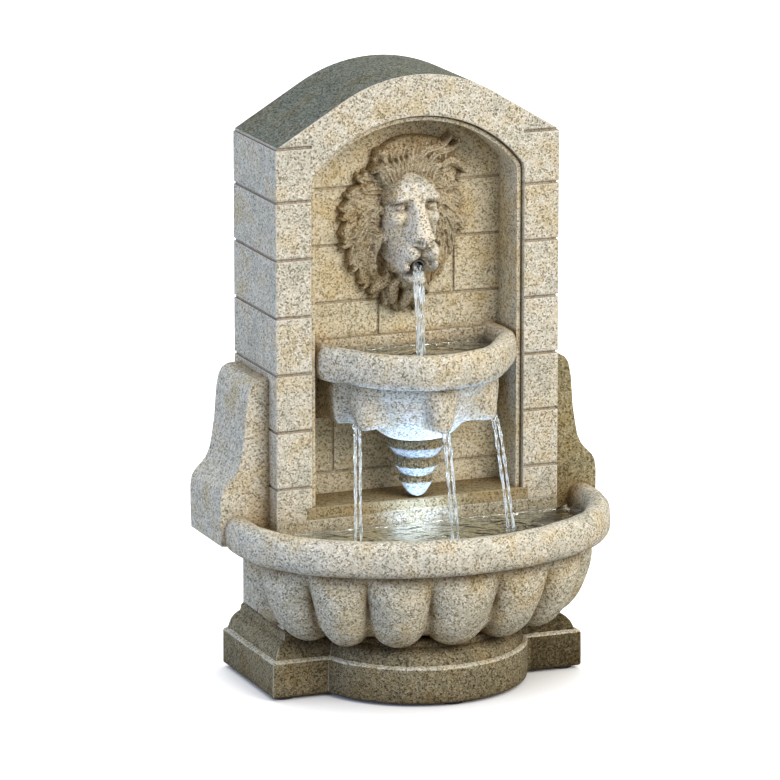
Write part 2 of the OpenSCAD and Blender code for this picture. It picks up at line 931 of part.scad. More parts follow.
module hose() {
  foot_z = pump_z + pump_h + 2;
  color([0.85, 0.87, 0.88]) {
    translate([0, hose_y, foot_z])
      linear_extrude(mouth_z - hose_bend_r - foot_z)
        ring_shape();
    translate([0, hose_y - hose_bend_r, mouth_z - hose_bend_r])
      hose_bend(hose_bend_r, 90);
    along_y(hollow_y + 1, hose_y - hose_bend_r)
      translate([0, mouth_z])
        ring_shape();
  }
}

// Pump
module at_axis() {
  translate([0, pump_y, axis_z])
    children();
}

module pump_box(x0, x1, inset) {
  block(x0, x1, pump_y - pump_w / 2 + inset, pump_y + pump_w / 2 - inset,
    pump_z + inset, pump_z + pump_h - inset);
}

module pump_body() {
  color([0.13, 0.13, 0.14])
  difference() {
    union() {
      pump_box(body_x0, body_x1, 0);
      translate([0, hose_y, pump_z + pump_h - over])
        cylinder(h = barb_h + over, r = spout_r);
    }
    at_axis() {
      rod_x(body_x0 - over, body_x0 + cap_t, chamber_r + 1.5 + seat_gap);
      rod_x(body_x0, chamber_w / 2, chamber_r);
      rod_x(0, well_x1, well_r);
      rod_x(0, well_x1 + 3, shaft_r + shaft_clear);
    }
    translate([0, hose_y, axis_z])
      cylinder(h = big, r = pipe_r);
    stator_space(0);
    translate([0, pump_y, 0])
      translate([0, 0, pump_lead_z])
        rod_x(body_x1 - pump_t - over, body_x1 + over, lead_r + seat_gap);
    cup_places()
      cylinder(h = 2, r = 2 + seat_gap);
  }
}

module stator_space(shrink) {
  half = pump_w / 2 - pump_t - shrink;
  difference() {
    block(chamber_w / 2 + pump_t + shrink, body_x1 - pump_t - shrink, pump_y - half, pump_y + half,
      pump_z + pump_t + shrink, pump_z + pump_h - pump_t - shrink);
    at_axis()
      rod_x(0, well_x1 + pump_t + 2, well_r + pump_t - 0.6 + shrink);
  }
}

module pump_stator() {
  color([0.45, 0.3, 0.18])
    difference() {
      stator_space(seat_gap);
      translate([body_x1 - pump_t - 6, pump_y, pump_lead_z])
        rod_x(0, 20, lead_r + seat_gap);
    }
}

module impeller_cap() {
  color([0.2, 0.2, 0.21])
    at_axis()
      difference() {
        rod_x(body_x0, body_x0 + cap_t, chamber_r + 1.5);
        rod_x(body_x0 - over, body_x0 + cap_t + over, intake_r);
      }
}

module impeller() {
  color([0.9, 0.9, 0.88])
    at_axis()
      difference() {
        union() {
          rod_x(-blade_w / 2, chamber_w / 2 - 0.5, hub_r);
          for (i = [0 : 5])
            rotate([i * 60, 0, 0])
              block(-blade_w / 2, blade_w / 2, -blade_t / 2, blade_t / 2, 0, blade_l);
          rod_x(blade_w / 2 - 0.6, blade_w / 2, blade_l);
        }
        rod_x(-big, big, shaft_r + shaft_clear);
      }
}

module rotor_magnet() {
  color([0.25, 0.25, 0.27])
    at_axis()
      difference() {
        rod_x(chamber_w / 2 - 0.5, chamber_w / 2 - 0.5 + magnet_l, magnet_r);
        rod_x(-big, big, shaft_r + shaft_clear);
      }
}

module impeller_shaft() {
  color([0.92, 0.91, 0.88])
    at_axis()
      rod_x(-chamber_w / 2 + 0.5, well_x1 + 3, shaft_r);
}

module slits() {
  for (i = [-1.5 : 1.5])
    translate([0, pump_y + i * slit_gap, axis_z - slit_l / 2])
      children();
}

module intake_cover() {
  color([0.16, 0.16, 0.17])
  difference() {
    pump_box(cover_x0, body_x0, 0);
    pump_box(cover_x0 + pump_t, body_x0 + over, pump_t);
    slits()
      block(cover_x0 - over, cover_x0 + pump_t + over, -slit_w / 2, slit_w / 2, 0, slit_l);
    for (z = [axis_z - rail_z - rail_play, axis_z + rail_z - rail_h - rail_play])
      block(cover_x0 - over, cover_x0 + 1, pump_y - groove_half, pump_y + groove_half,
        z, z + rail_h + 2 * rail_play);
  }
}

module intake_sponge() {
  color([0.2, 0.22, 0.24])
    pump_box(cover_x0 + pump_t + sponge_gap, body_x0 - sponge_gap, pump_t + sponge_gap);
}

module flow_slider() {
  x0 = cover_x0 - 1.6;
  color([0.75, 0.74, 0.7])
    difference() {
      union() {
        block(x0, cover_x0 - 0.1, pump_y - rail_half - 1, pump_y + rail_half + 1,
          axis_z - rail_z, axis_z + rail_z);
        for (z = [axis_z - rail_z, axis_z + rail_z - rail_h])
          block(x0, cover_x0 + 0.8, pump_y - rail_half, pump_y + rail_half, z, z + rail_h);
        translate([0, pump_y, axis_z])
          rod_x(x0 - 3, x0 + over, knob_r);
      }
      slits()
        block(x0 - over, cover_x0 + over, -slit_w / 2, slit_w / 2, 1, slit_l - 1);
    }
}

module cup_places() {
  for (x = [body_x0 + cup_in, body_x1 - cup_in])
    for (y = [pump_y - pump_w / 2 + cup_in, pump_y + pump_w / 2 - cup_in])
      translate([x, y, pump_z])
        children();
}

module suction_cups() {
  color([0.1, 0.1, 0.1])
    cup_places()
      difference() {
        union() {
          translate([0, 0, -cup_h])
            cylinder(h = cup_h - 2, r1 = cup_r, r2 = 2);
          translate([0, 0, -2.5])
            cylinder(h = 4.5, r = 2);
          translate([0, 0, -2])
            cylinder(h = 2, r = 3);
        }
        translate([0, 0, -cup_h - over])
          cylinder(h = 2.5, r1 = cup_r - 1, r2 = 1);
      }
}

// Lamp under water below the pendant
module at_lamp() {
  translate([0, lamp_y, floor_z])
    children();
}

module lamp_housing() {
  color([0.15, 0.15, 0.16])
    at_lamp()
      difference() {
        cylinder(h = lamp_h, r = lamp_r);
        translate([0, 0, lamp_t])
          cylinder(h = lamp_h, r = lamp_r - lamp_t - 2);
        translate([0, 0, lamp_h - lens_t])
          cylinder(h = lens_t + over, r = lamp_r - lamp_t + seat_gap);
        translate([0, 0, lamp_h / 2])
          rod_y(0, lamp_r + over, lead_r + seat_gap);
      }
}

module lamp_board() {
  color([0.9, 0.92, 0.86])
    at_lamp() {
      translate([0, 0, lamp_t])
        cylinder(h = board_t, r = lamp_r - lamp_t - 2 - seat_gap);
      for (i = [0 : 2])
        rotate([0, 0, 120 * i + 30])
          translate([4.5, 0, lamp_t + board_t - over])
            cylinder(h = 1 + over, r = chip_r);
    }
}

module lamp_seal() {
  color([0.08, 0.08, 0.08])
    at_lamp()
      translate([0, 0, lamp_h - lens_t])
        difference() {
          cylinder(h = seal_t, r = lamp_r - lamp_t);
          translate([0, 0, -over])
            cylinder(h = seal_t + 2 * over, r = lamp_r - lamp_t - 2);
        }
}

module lamp_lens() {
  color([0.9, 0.95, 1, 0.6])
    at_lamp()
      translate([0, 0, lamp_h - lens_t + seal_t])
        cylinder(h = lens_t, r = lamp_r - lamp_t);
}

// Leads inside the casing
module lamp_lead() {
  z = floor_z + lamp_h / 2;
  y0 = lamp_y + lamp_r - lead_out;
  color([0.08, 0.08, 0.08])
    lead_run([[0, y0, z], [0, lamp_lead_y, z], [lamp_lead_x, lamp_lead_y, z],
      [lamp_lead_x, lead_rise_y, z], [lamp_lead_x, lead_rise_y, split_z]], lead_r);
}

module pump_lead() {
  z = pump_lead_z;
  color([0.08, 0.08, 0.08])
    lead_run([[body_x1 - pump_t, pump_y, z], [pump_lead_x, pump_y, z],
      [pump_lead_x, lead_rise_y, z], [pump_lead_x, lead_rise_y, split_z]], lead_r);
}

module inlet_lead() {
  y = y_back - inlet_l - 6;
  color([0.08, 0.08, 0.08])
    lead_run([[inlet_x, y_back - inlet_l, inlet_z], [inlet_x, y, inlet_z], [split_x, y, inlet_z],
      [split_x, hollow_rear_y - split_w, inlet_z]], lead_r);
}

module lead_splitter() {
  color([0.14, 0.14, 0.15])
    block(split_x - split_l / 2, split_x + split_l / 2, hollow_rear_y - split_w, hollow_rear_y,
      split_z, split_z + split_h);
}

module power_inlet() {
  color([0.12, 0.12, 0.13])
    translate([inlet_x, 0, inlet_z])
      difference() {
        union() {
          rod_y(y_back - inlet_l, y_back, inlet_r);
          rod_y(y_back - flange_t, y_back, flange_r);
        }
        rod_y(y_back - inlet_l + 3, y_back + over, plug_r);
      }
}

module inlet_pin() {
  color([0.75, 0.7, 0.5])
    translate([inlet_x, 0, inlet_z])
      rod_y(y_back - inlet_l + 3, y_back - 2, pin_r);
}

module inlet_nut() {
  color([0.6, 0.6, 0.6])
    translate([inlet_x, hollow_rear_y, inlet_z])
      rotate([90, 0, 0])
        linear_extrude(3)
          difference() {
            circle(r = inlet_r + 3, $fn = 6);
            circle(r = inlet_r + seat_gap);
          }
}

// Lift-off rear cover
module rear_cover() {
  half = door_half_w + door_rebate - door_fit;
  low = door_low_z - door_rebate + door_fit;
  top = door_top_z + door_rebate - door_fit;
  lip = door_half_w - door_fit;
  color([0.24, 0.22, 0.2])
    difference() {
      union() {
        block(-half, half, y_back - door_t - door_fit, y_back - door_fit, low, top);
        for (s = [-1, 1])
          translate([s * (lip - latch_t / 2), 0, 0])
            block(-latch_t / 2, latch_t / 2, y_back - door_t - latch_l, y_back - door_t,
              door_low_z + 10, door_top_z - 10);
      }
      translate([0, 0, low])
        rod_y(y_back - door_t - 1, y_back + over, 9);
    }
}

plinth();
rubber_feet();
lower_basin();
wall_block();
left_bracket();
right_bracket();
upper_basin();
pendant();
lion_mask();
mouth_spout();
hose();
pump_body();
pump_stator();
impeller_cap();
impeller();
rotor_magnet();
impeller_shaft();
intake_cover();
intake_sponge();
flow_slider();
suction_cups();
lamp_housing();
lamp_board();
lamp_seal();
lamp_lens();
lamp_lead();
pump_lead();
inlet_lead();
lead_splitter();
power_inlet();
inlet_pin();
inlet_nut();
rear_cover();
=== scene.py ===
# %% [markdown]
# # Indoor lion fountain
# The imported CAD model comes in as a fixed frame: every CAD node is an object at the origin, in metres,
# with +Z up and the bowl towards -Y. The scene only adds looks to it: finer carved forms where the
# solids are plain, water, materials, light and a camera. Sizes below are in millimetres, as on the
# real object, and one factor turns them to metres.

# %% Load the frame
from math import atan2, copysign, cos, degrees, dist, pi, radians, sin, sqrt

import bpy
import numpy as np
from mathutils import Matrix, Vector


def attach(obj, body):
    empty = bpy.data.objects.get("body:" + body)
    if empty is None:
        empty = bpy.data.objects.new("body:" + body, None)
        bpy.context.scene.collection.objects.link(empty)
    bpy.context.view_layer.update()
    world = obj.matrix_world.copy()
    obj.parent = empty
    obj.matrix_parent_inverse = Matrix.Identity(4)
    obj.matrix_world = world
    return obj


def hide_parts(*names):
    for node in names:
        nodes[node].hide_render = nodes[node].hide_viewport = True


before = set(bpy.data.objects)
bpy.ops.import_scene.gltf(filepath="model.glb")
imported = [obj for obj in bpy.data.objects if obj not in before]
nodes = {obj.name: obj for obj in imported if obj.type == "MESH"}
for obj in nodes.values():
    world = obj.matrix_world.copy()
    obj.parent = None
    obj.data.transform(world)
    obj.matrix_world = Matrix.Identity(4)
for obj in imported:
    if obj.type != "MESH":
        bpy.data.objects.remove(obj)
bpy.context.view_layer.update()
MM = 0.001

# %% [markdown]
# An operator acts on all that is selected, so everything else is deselected first. A modifier is
# applied at once, and a piece's place is kept in its mesh, so its object stays at the origin.

# %% Operator habits
def only(piece):
    """Makes one object the selected and active one."""
    bpy.ops.object.select_all(action="DESELECT")
    piece.select_set(True)
    bpy.context.view_layer.objects.active = piece
    return piece


def link(piece):
    bpy.context.collection.objects.link(piece)
    return piece


def settle(name):
    """Names the active object and moves its place, turn and scale into its mesh."""
    piece = only(bpy.context.active_object)
    bpy.ops.object.transform_apply(location=True, rotation=True, scale=True)
    piece.name = piece.data.name = name
    return piece


def apply_modifier(piece, kind, **settings):
    """Adds one modifier with its settings and applies it."""
    only(piece)
    step = piece.modifiers.new(kind.title(), kind)
    for key, value in settings.items():
        setattr(step, key, value)
    bpy.ops.object.modifier_apply(modifier=step.name)


def in_edit_mode(piece, *steps):
    """Runs each step on the whole mesh in edit mode."""
    only(piece)
    bpy.ops.object.mode_set(mode="EDIT")
    for step in steps:
        bpy.ops.mesh.select_all(action="SELECT")
        step()
    bpy.ops.object.mode_set(mode="OBJECT")
    return piece


def close_up(piece, gap=0.01):
    """Merges points that lie together and turns all faces outwards."""
    return in_edit_mode(piece, lambda: bpy.ops.mesh.remove_doubles(threshold=gap * MM),
        lambda: bpy.ops.mesh.dissolve_degenerate(threshold=gap * MM * 0.1),
        lambda: bpy.ops.mesh.normals_make_consistent(inside=False))


def points_of(piece):
    """All vertex positions of a mesh, as rows of x, y, z in millimetres."""
    flat = np.empty(len(piece.data.vertices) * 3)
    piece.data.vertices.foreach_get("co", flat)
    return flat.reshape(-1, 3) / MM


def move_points(piece, rows):
    piece.data.vertices.foreach_set("co", (rows * MM).ravel())
    piece.data.update()


print("helpers ready")

# %% [markdown]
# A carved form is a sheet of points: one index runs along its rim, the other down its wall. Solid
# forms need closed sheets, so the ends are filled and the seam is merged.

# %% A sheet of points
def mesh_piece(name, rows, faces):
    """A new object from points in millimetres and faces."""
    mesh = bpy.data.meshes.new(name)
    mesh.from_pydata((rows * MM).tolist(), [], faces)
    return link(bpy.data.objects.new(name, mesh))


def sheet_of_points(name, rows, wrap=False, caps=False):
    """A mesh from points[down][along]. wrap joins the last row to the first, caps fills both ends."""
    down, along = rows.shape[:2]
    ids = np.arange(down * along).reshape(down, along)
    low = np.vstack([ids, ids[:1]]) if wrap else ids
    faces = np.stack([low[:-1, :-1], low[:-1, 1:], low[1:, 1:], low[1:, :-1]], -1).reshape(-1, 4).tolist()
    if caps:
        faces += [ids[:, 0].tolist(), ids[::-1, -1].tolist()]
    return close_up(mesh_piece(name, rows.reshape(-1, 3), faces))


def waves(x, y, z, size, seed):
    """A smooth made-up unevenness from -1 to 1: a few crossing sine waves of about one size in mm."""
    rng = np.random.RandomState(seed)
    total = 0
    for k in range(7):
        d = rng.normal(size=3)
        d = d / np.linalg.norm(d) * 2 * pi / (size * rng.uniform(0.7, 1.5))
        total = total + np.sin(x * d[0] + y * d[1] + z * d[2] + rng.uniform(0, 6.3))
    return total / 4


print("sheets ready")

# %% [markdown]
# Cast stone is a cement and sand mix poured in rubber moulds. It is matte and grainy, with dark specks
# about a millimetre across, ochre where the maker's wash stayed in the hollows, and paler where edges
# are rubbed. One recipe does all of it, because every casting had the same mix: cells for the grain,
# ambient occlusion for the wash, a broader ambient occlusion that paints shade into wide hollows in the
# stain tint, and a bevelled normal for the rounded arrises.

# %% Colours and nodes
WHITE, BLACK = "#ffffff", "#000000"


def hexa(code):
    """An sRGB hex colour as the linear RGBA that Blender's sockets want."""
    parts = [int(code[i:i + 2], 16) / 255 for i in (1, 3, 5)]
    return [p / 12.92 if p <= 0.04045 else ((p + 0.055) / 1.055) ** 2.4 for p in parts] + [1.0]


def wire(tree, node, wires):
    """Sets inputs of a node, each to a value or to another node's output."""
    for key, value in wires.items():
        if isinstance(value, bpy.types.NodeSocket):
            tree.links.new(value, node.inputs[key])
        else:
            node.inputs[key].default_value = value


def add(tree, kind, wires={}, **settings):
    node = tree.nodes.new("ShaderNode" + kind)
    for key, value in settings.items():
        setattr(node, key, value)
    wire(tree, node, wires)
    return node


def ramp(tree, factor, *stops):
    """A colour ramp through (place, hex colour) stops."""
    node = add(tree, "ValToRGB", {"Fac": factor})
    bar = node.color_ramp.elements
    while len(bar) < len(stops):
        bar.new(0.5)
    for stop, (place, code) in zip(bar, stops):
        stop.position = place
        stop.color = hexa(code)
    return node.outputs["Color"]


def blank(name):
    material = bpy.data.materials.new(name)
    material.use_nodes = True
    tree = material.node_tree
    return material, tree, tree.nodes["Principled BSDF"]


def place_of(tree):
    return add(tree, "TexCoord").outputs["Object"]


def per_mm(size):
    """The scale for a pattern of that size in millimetres, on Object coordinates in metres."""
    return 1 / (size * MM)


def noise(tree, place, size, detail=2.0, roughness=0.5, output="Fac"):
    return add(tree, "TexNoise", {"Vector": place, "Scale": per_mm(size), "Detail": detail,
        "Roughness": roughness}).outputs[output]


def mixed(tree, share, first, second, blend="MIX"):
    return add(tree, "MixRGB", {"Fac": share, "Color1": first, "Color2": second}, blend_type=blend).outputs[0]


def maths(tree, operation, first, second=0.0, clamp=False):
    return add(tree, "Math", {0: first, 1: second}, operation=operation, use_clamp=clamp).outputs[0]


def times(tree, first, second, clamp=False):
    return maths(tree, "MULTIPLY", first, second, clamp)


def vectors(tree, operation, wires):
    return add(tree, "VectorMath", wires, operation=operation).outputs


def bump(tree, height, strength, depth, **more):
    """The normal of a bump, its depth in millimetres."""
    return add(tree, "Bump", {"Height": height, "Strength": strength, "Distance": depth * MM, **more}).outputs["Normal"]


def openness(tree, reach, samples=4):
    """1 where nothing stands within reach, in millimetres, and 0 in the depth of a hollow."""
    return add(tree, "AmbientOcclusion", {"Distance": reach * MM}, samples=samples).outputs["AO"]


print("node helpers ready")

# %% Cast stone
def ragged(tree, place):
    """Object coordinates pushed about by noise, so that cells come out as ragged grains."""
    push = vectors(tree, "SUBTRACT", {0: noise(tree, place, 1.4, output="Color"), 1: (0.5, 0.5, 0.5)})[0]
    push = vectors(tree, "SCALE", {0: push, "Scale": 0.9 * MM})[0]
    return vectors(tree, "ADD", {0: place, 1: push})[0]


def tinted(tree, share, colour, tint):
    return mixed(tree, share, colour, mixed(tree, 1.0, colour, hexa(tint), "MULTIPLY"))


def cast_stone(name, tones, wash="#8a6c3c", stain_and_shade_tint="#a98f5f", wash_share=0.8, stain_and_shade_share=0.8, rough=0.92,
        wet_below=None, cranny_size=4, edge=0.5, edge_tone=None, arris_size=1.3, patch="#f5eddb"):
    """tones are the specks, the darker grains, the pale ground and the whitest grains.
    cranny_size is how far in mm the wash reaches out of a hollow, edge how far an arris is rubbed pale.
    patch is the tint of the uneven patches that the wash leaves. The stain tint darkens wide hollows,
    partly as the maker's wash and partly as painted shade.
    wet_below gives a half width and a height in mm: between them and under it the front is splashed dark."""
    material, tree, skin = blank("Cast stone " + name)
    place = place_of(tree)
    speck, dark, pale, white = tones.split()
    grain = add(tree, "TexVoronoi", {"Vector": ragged(tree, place), "Scale": per_mm(0.85)}).outputs
    cloud = noise(tree, place, 4, 3.0, 0.6)
    value = add(tree, "SeparateColor", {"Color": grain["Color"]}).outputs["Red"]
    value = maths(tree, "ADD", value, times(tree, maths(tree, "SUBTRACT", cloud, 0.5), 0.35))
    colour = ramp(tree, value, (0.05, speck), (0.22, dark), (0.42, pale), (0.68, pale), (0.95, white))
    patches = ramp(tree, noise(tree, place, 20, 5.0, 0.6), (0.36, patch), (0.5, WHITE), (0.66, "#e9ecec"))
    colour = mixed(tree, 1.0, colour, patches, "MULTIPLY")
    # Painted shade, partly wash: wide hollows, out to 42 mm, are darkened towards the stain tint.
    broad_stain_and_shade = ramp(tree, openness(tree, 42), (0.30, WHITE), (0.86, BLACK))
    colour = tinted(tree, times(tree, broad_stain_and_shade, stain_and_shade_share, True), colour, stain_and_shade_tint)
    near = openness(tree, cranny_size)
    cranny = times(tree, ramp(tree, near, (0.35, WHITE), (0.85, BLACK)), maths(tree, "ADD", cloud, 0.35))
    colour = mixed(tree, times(tree, cranny, wash_share, True), colour, hexa(wash))
    arris = add(tree, "Bevel", {"Radius": arris_size * MM}, samples=4).outputs["Normal"]
    flat = add(tree, "NewGeometry").outputs["Normal"]
    turn = vectors(tree, "DOT_PRODUCT", {0: arris, 1: flat})["Value"]
    worn = times(tree, ramp(tree, turn, (0.80, WHITE), (0.97, BLACK)), near)
    colour = mixed(tree, times(tree, worn, edge), colour, hexa(edge_tone or white))
    if wet_below:
        spot = add(tree, "SeparateXYZ", {"Vector": place}).outputs
        splashed = 1.0
        for value, limit in ((spot["Z"], wet_below[1]), (maths(tree, "ABSOLUTE", spot["X"]), wet_below[0]),
                (spot["Y"], 60)):
            splashed = times(tree, splashed, maths(tree, "LESS_THAN", value, limit * MM))
        colour = tinted(tree, splashed, colour, "#c8bda2")
    pits = bump(tree, cloud, 0.55, 1.2, Normal=arris)
    sand = bump(tree, grain["Distance"], 0.5, 0.45, Normal=pits)
    wire(tree, skin, {"Base Color": colour, "Normal": sand, "Roughness": rough,
        "Specular IOR Level": 0.25 if rough > 0.6 else 0.5})
    return material


SAND = "#8a816b #bbb29a #e4dcc6 #fdf8ea"
stone = cast_stone("sand", SAND)
wall_stone = cast_stone("wall", SAND, wet_below=(73.5, 115.6), edge=0.75, arris_size=1.9)
# Painted shade: a darker grey-green copy of the stone for the arch's upward faces, where less light falls.
shaded_top_stone = cast_stone("painted shade top", "#3a3e33 #5c6055 #7b7f72 #999c8f")
face_stone = cast_stone("face", "#857a61 #c2b79c #f0e7d2 #fffcf2", "#6b5026", "#cbb995", 0.5, 0.1, patch="#fcfaf4")
mask_stone = cast_stone("mask", "#7b6b4f #a89976 #d0c4a5 #ede5d0", "#6b5026", "#a68a58", 1.0, 0.6)
# Painted shade: a darker copy of the sand stone, for the right bracket alone.
shaded_bracket_stone = cast_stone("bracket", "#655c40 #8a8161 #aba07c #cdc4a2")
niche_stone = cast_stone("niche", "#9a8c6d #c0b38f #e6dcbf #faf3e2", "#7c5f30", "#c2ae80", 0.6, 0.35)
# Painted shade: a darker copy of the stone for the plinth, also used on the pendant's bands.
shaded_plinth_stone = cast_stone("plinth", "#4c432f #736950 #968b6c #bbb194", "#4f3d1f", "#8f7850", 1.0, 0.8,
    # Its edges are paled strongly towards near white: partly wear, partly painted highlight.
    edge=0.95, edge_tone="#efe8d6")
# Partly wear, partly painted highlight: a paler stone for the band along the plinth's arris.
worn_and_highlit_arris_stone = cast_stone("worn and highlit arris", "#8a816b #b5ac94 #d9d1bb #f2ecdb", "#8f7850", "#c2ae80", 0.4, 0.2)
# Painted shadow: a darker copy of the plinth stone for its right block, under the bowl's overhang.
overhang_shadow_stone = cast_stone("foot", "#342c1d #4f4531 #675c3f #878063", "#4f3d1f", "#8f7850", 1.0, 0.8,
    # Its edges are paled strongly: partly wear, partly painted highlight.
    edge=0.9, edge_tone="#ddd4bc")
# The lobes take the broad stain and painted shade at full share.
lobe_stone = cast_stone("lobes", "#847a60 #b3a98c #dcd3b9 #fdf8e8", "#6b5228", "#957b4b", 0.85, 1.0, cranny_size=13)
damp_stone = cast_stone("damp", "#6b675a #86837a #a09d92 #b9b6ab", "#6b5026", "#a98f5f", 0.5, 0.3)
wet_stone = cast_stone("wet", "#665d48 #958a6e #bcb193 #e0d8c2", "#4a3a1e", "#8f7850", 0.8, 0.5, 0.35)
print("stone materials:", [m.name for m in bpy.data.materials if m.name.startswith("Cast stone")])


def finish(piece, crease, material, *patches, replaces=None, slot="cast_stone"):
    """Gives a piece its material, and others to the faces that a pick(x, y, z, normals) in mm chooses."""
    faces = piece.data.polygons
    centres, facing, slots = np.empty(len(faces) * 3), np.empty(len(faces) * 3), np.zeros(len(faces), np.int32)
    faces.foreach_get("center", centres)
    faces.foreach_get("normal", facing)
    piece.data.materials.append(material)
    for k, (patch, pick) in enumerate(patches, 1):
        piece.data.materials.append(patch)
        slots[pick(*centres.reshape(-1, 3).T / MM, facing.reshape(-1, 3).T)] = k
    faces.foreach_set("material_index", slots)
    only(piece)
    bpy.ops.object.shade_smooth_by_angle(angle=radians(crease))
    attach(piece, "fountain")
    if replaces:
        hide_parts(replaces)
    print(piece.name, len(faces), "faces")


# %% [markdown]
# The lower bowl has a thick roll rim over egg-shaped lobes, called gadroons. Its plan is three arcs
# that meet smoothly. Its wall runs down from the roll, over the lobes, under the bowl and back up
# inside. Each lobe is an outline pushed out, each seam one pulled in, with a round blend across.

# %% Plan of the lower bowl
RIM_Y, RIM_HALF, RIM_DEEP, SIDE_R = 12.6, 114.0, 89.6, 78.0
BRACKET_Y, WALL_Y = 25.0, 12.0


def arc(x, y, r, start, end, count):
    """Points on an arc about (x, y), between two angles in degrees, counted from the front."""
    return [(x + r * sin(a), y - r * cos(a)) for a in np.radians(np.linspace(start, end, count))]


def mirrored(half):
    """A line from its right half, which starts in the middle."""
    return [(-x, y) for x, y in half[:0:-1]] + half


def soften(rows, rounds):
    """Draws each inner point of a line towards those beside it."""
    for _ in range(rounds):
        rows[1:-1] = (rows[:-2] + 2 * rows[1:-1] + rows[2:]) / 4
    return rows


def spaced(line, count=None, step=None):
    """The same line through points at equal distances: a count of them, or one for about each step."""
    line = np.array(line, float)
    run = np.concatenate([[0], np.cumsum(np.hypot(*np.diff(line, axis=0).T))])
    s = np.linspace(0, run[-1], count or int(run[-1] / step) | 1)
    return np.stack([np.interp(s, run, line[:, 0]), np.interp(s, run, line[:, 1])], 1)


def even_steps(line, step, rounds=2):
    """The same line in equal steps, with its outward normals."""
    pts = spaced(line, step=step)
    way = soften(np.gradient(pts, axis=0), rounds)
    out = np.stack([way[:, 1], -way[:, 0]], 1)
    return pts, out / np.linalg.norm(out, axis=1, keepdims=True)


def outline(stops, count):
    """A smooth line of count points through (inset, height) stops."""
    return soften(spaced(stops, count), 3)


def roll_section(half_w, mid_z, half_h, start, end, count):
    """Part of a roll's section, from angle to angle, as (inset, height) with + inset inwards."""
    rows = []
    for a in np.radians(np.linspace(start, end, count)):
        c, s = (copysign(abs(v) ** 0.8, v) for v in (cos(a), sin(a)))
        rows.append((-half_w * c, mid_z + half_h * s))
    return np.array(rows)


def laid(pts, out, section):
    """A section's (inset, height) points laid along a plan line; it may change along the line."""
    section = section[:, None] if section.ndim == 2 else section
    section = np.broadcast_to(section, (len(section), len(pts), 2))
    return np.concatenate([pts - section[..., :1] * out, section[..., 1:]], -1)


def inward(start, middle, high, steps):
    """Rows of points at one height, between a line and its middle."""
    return [np.column_stack([start * (1 - k) + middle * k, np.full(len(start), high)])[None] for k in steps]


side_x, side_d = RIM_HALF - SIDE_R, RIM_DEEP - SIDE_R
front_back = (side_x ** 2 - side_d ** 2) / (2 * side_d)
front_turn = degrees(atan2(side_x, front_back))
half = arc(0, RIM_Y + front_back, RIM_DEEP + front_back, 0, front_turn, 60)
half += arc(side_x, RIM_Y, SIDE_R, front_turn, 90, 60)[1:]
half += [(RIM_HALF, y) for y in np.linspace(RIM_Y, BRACKET_Y, 8)[1:]]
line, normal = even_steps(mirrored(half), 1.25)
print("rim line:", len(line), "points")

# %% Lower bowl
SEAMS = np.array([-112, -88, -63, -41, -15, 15, 41, 63, 88, 112])  # angles of the seams between lobes
DOWN = 44  # points down a lobe


def bulge(offset):
    """0 at a lobe's middle, 1 at its seam, round in between."""
    across = np.minimum(np.abs(offset), 1)
    return 0.5 * across ** 2 + 0.5 * (1 - np.sqrt(np.clip(1 - across ** 2, 0, 1)))


def lower_bowl():
    polar = np.degrees(np.arctan2(line[:, 0], RIM_Y - line[:, 1]))
    slot = np.clip(np.searchsorted(SEAMS, polar) - 1, 0, len(SEAMS) - 2)
    mid, half = (SEAMS[slot] + SEAMS[slot + 1]) / 2, (SEAMS[slot + 1] - SEAMS[slot]) / 2
    lobe = outline([(6.5, 90), (3.6, 82), (3.6, 74), (5.4, 66), (8.6, 58), (12.6, 50), (18, 43.5), (24.5, 38.8),
        (31, 36.6), (37, 37), (42, 40)], DOWN)
    seam = outline([(8, 90), (10.5, 82), (13.5, 74), (16.5, 66), (19.6, 58.5), (22, 52), (26.5, 47.5), (31, 44.5),
        (35, 43), (39, 42), (44, 40)], DOWN)
    narrow = np.interp(np.arange(DOWN), [0, 12, 26, DOWN - 1], [1.03, 1.0, 0.93, 0.72])
    blend = np.stack([bulge((polar - mid) / half / k) for k in narrow])[..., None]
    lobes = laid(line, normal, lobe[:, None] * (1 - blend) + seam[:, None] * blend)
    wall = outline([(8.5, 90.5), (13.5, 88), (17, 80), (20, 72), (26, 62), (35, 53), (46, 48.4), (56, 47.9)], 26)
    inside = laid(line, normal, wall[::-1])
    ends = line[:, 1] > WALL_Y + 0.2
    inside[:, ends, 0] = np.sign(inside[:, ends, 0]) * np.minimum(np.abs(inside[:, ends, 0]), 91)
    middle = np.array([0.0, BRACKET_Y])
    grid = np.concatenate(
        [laid(line, normal, roll_section(8, 100.3, 11.2, 90, -72, 26)), lobes]
        + inward(lobes[-1, :, :2], middle, 40.0, (0.25, 0.6, 1.0))
        + inward(line - 56 * normal, middle, 47.9, (1.0, 0.6, 0.25))
        + [inside, laid(line, normal, roll_section(8, 100.3, 11.2, 248, 96, 22))])
    x, y, z = np.moveaxis(grid, -1, 0)
    away = np.clip((BRACKET_Y - y) / 4, 0, 1)[..., None] * (z > 44)[..., None]
    drift = waves(x, y, z, 26, 3) * 0.45 + waves(x, y, z, 9, 4) * 0.16
    grid[..., :2] += normal[None] * (drift[..., None] * away)
    grid[..., 2:] += waves(x, y, z, 22, 5)[..., None] * 0.3 * away * (z > 95)[..., None]
    return sheet_of_points("lower_bowl_wall", grid, wrap=True, caps=True)


def within(x, y, z, n):
    return (z > 47) & (z < 103) & (n[0] * x + n[1] * (y - 20) < 1)


finish(lower_bowl(), 60, stone, (lobe_stone, lambda x, y, z, n: (z > 35) & (z < 90)), (wet_stone, within),
    replaces="lower_basin")

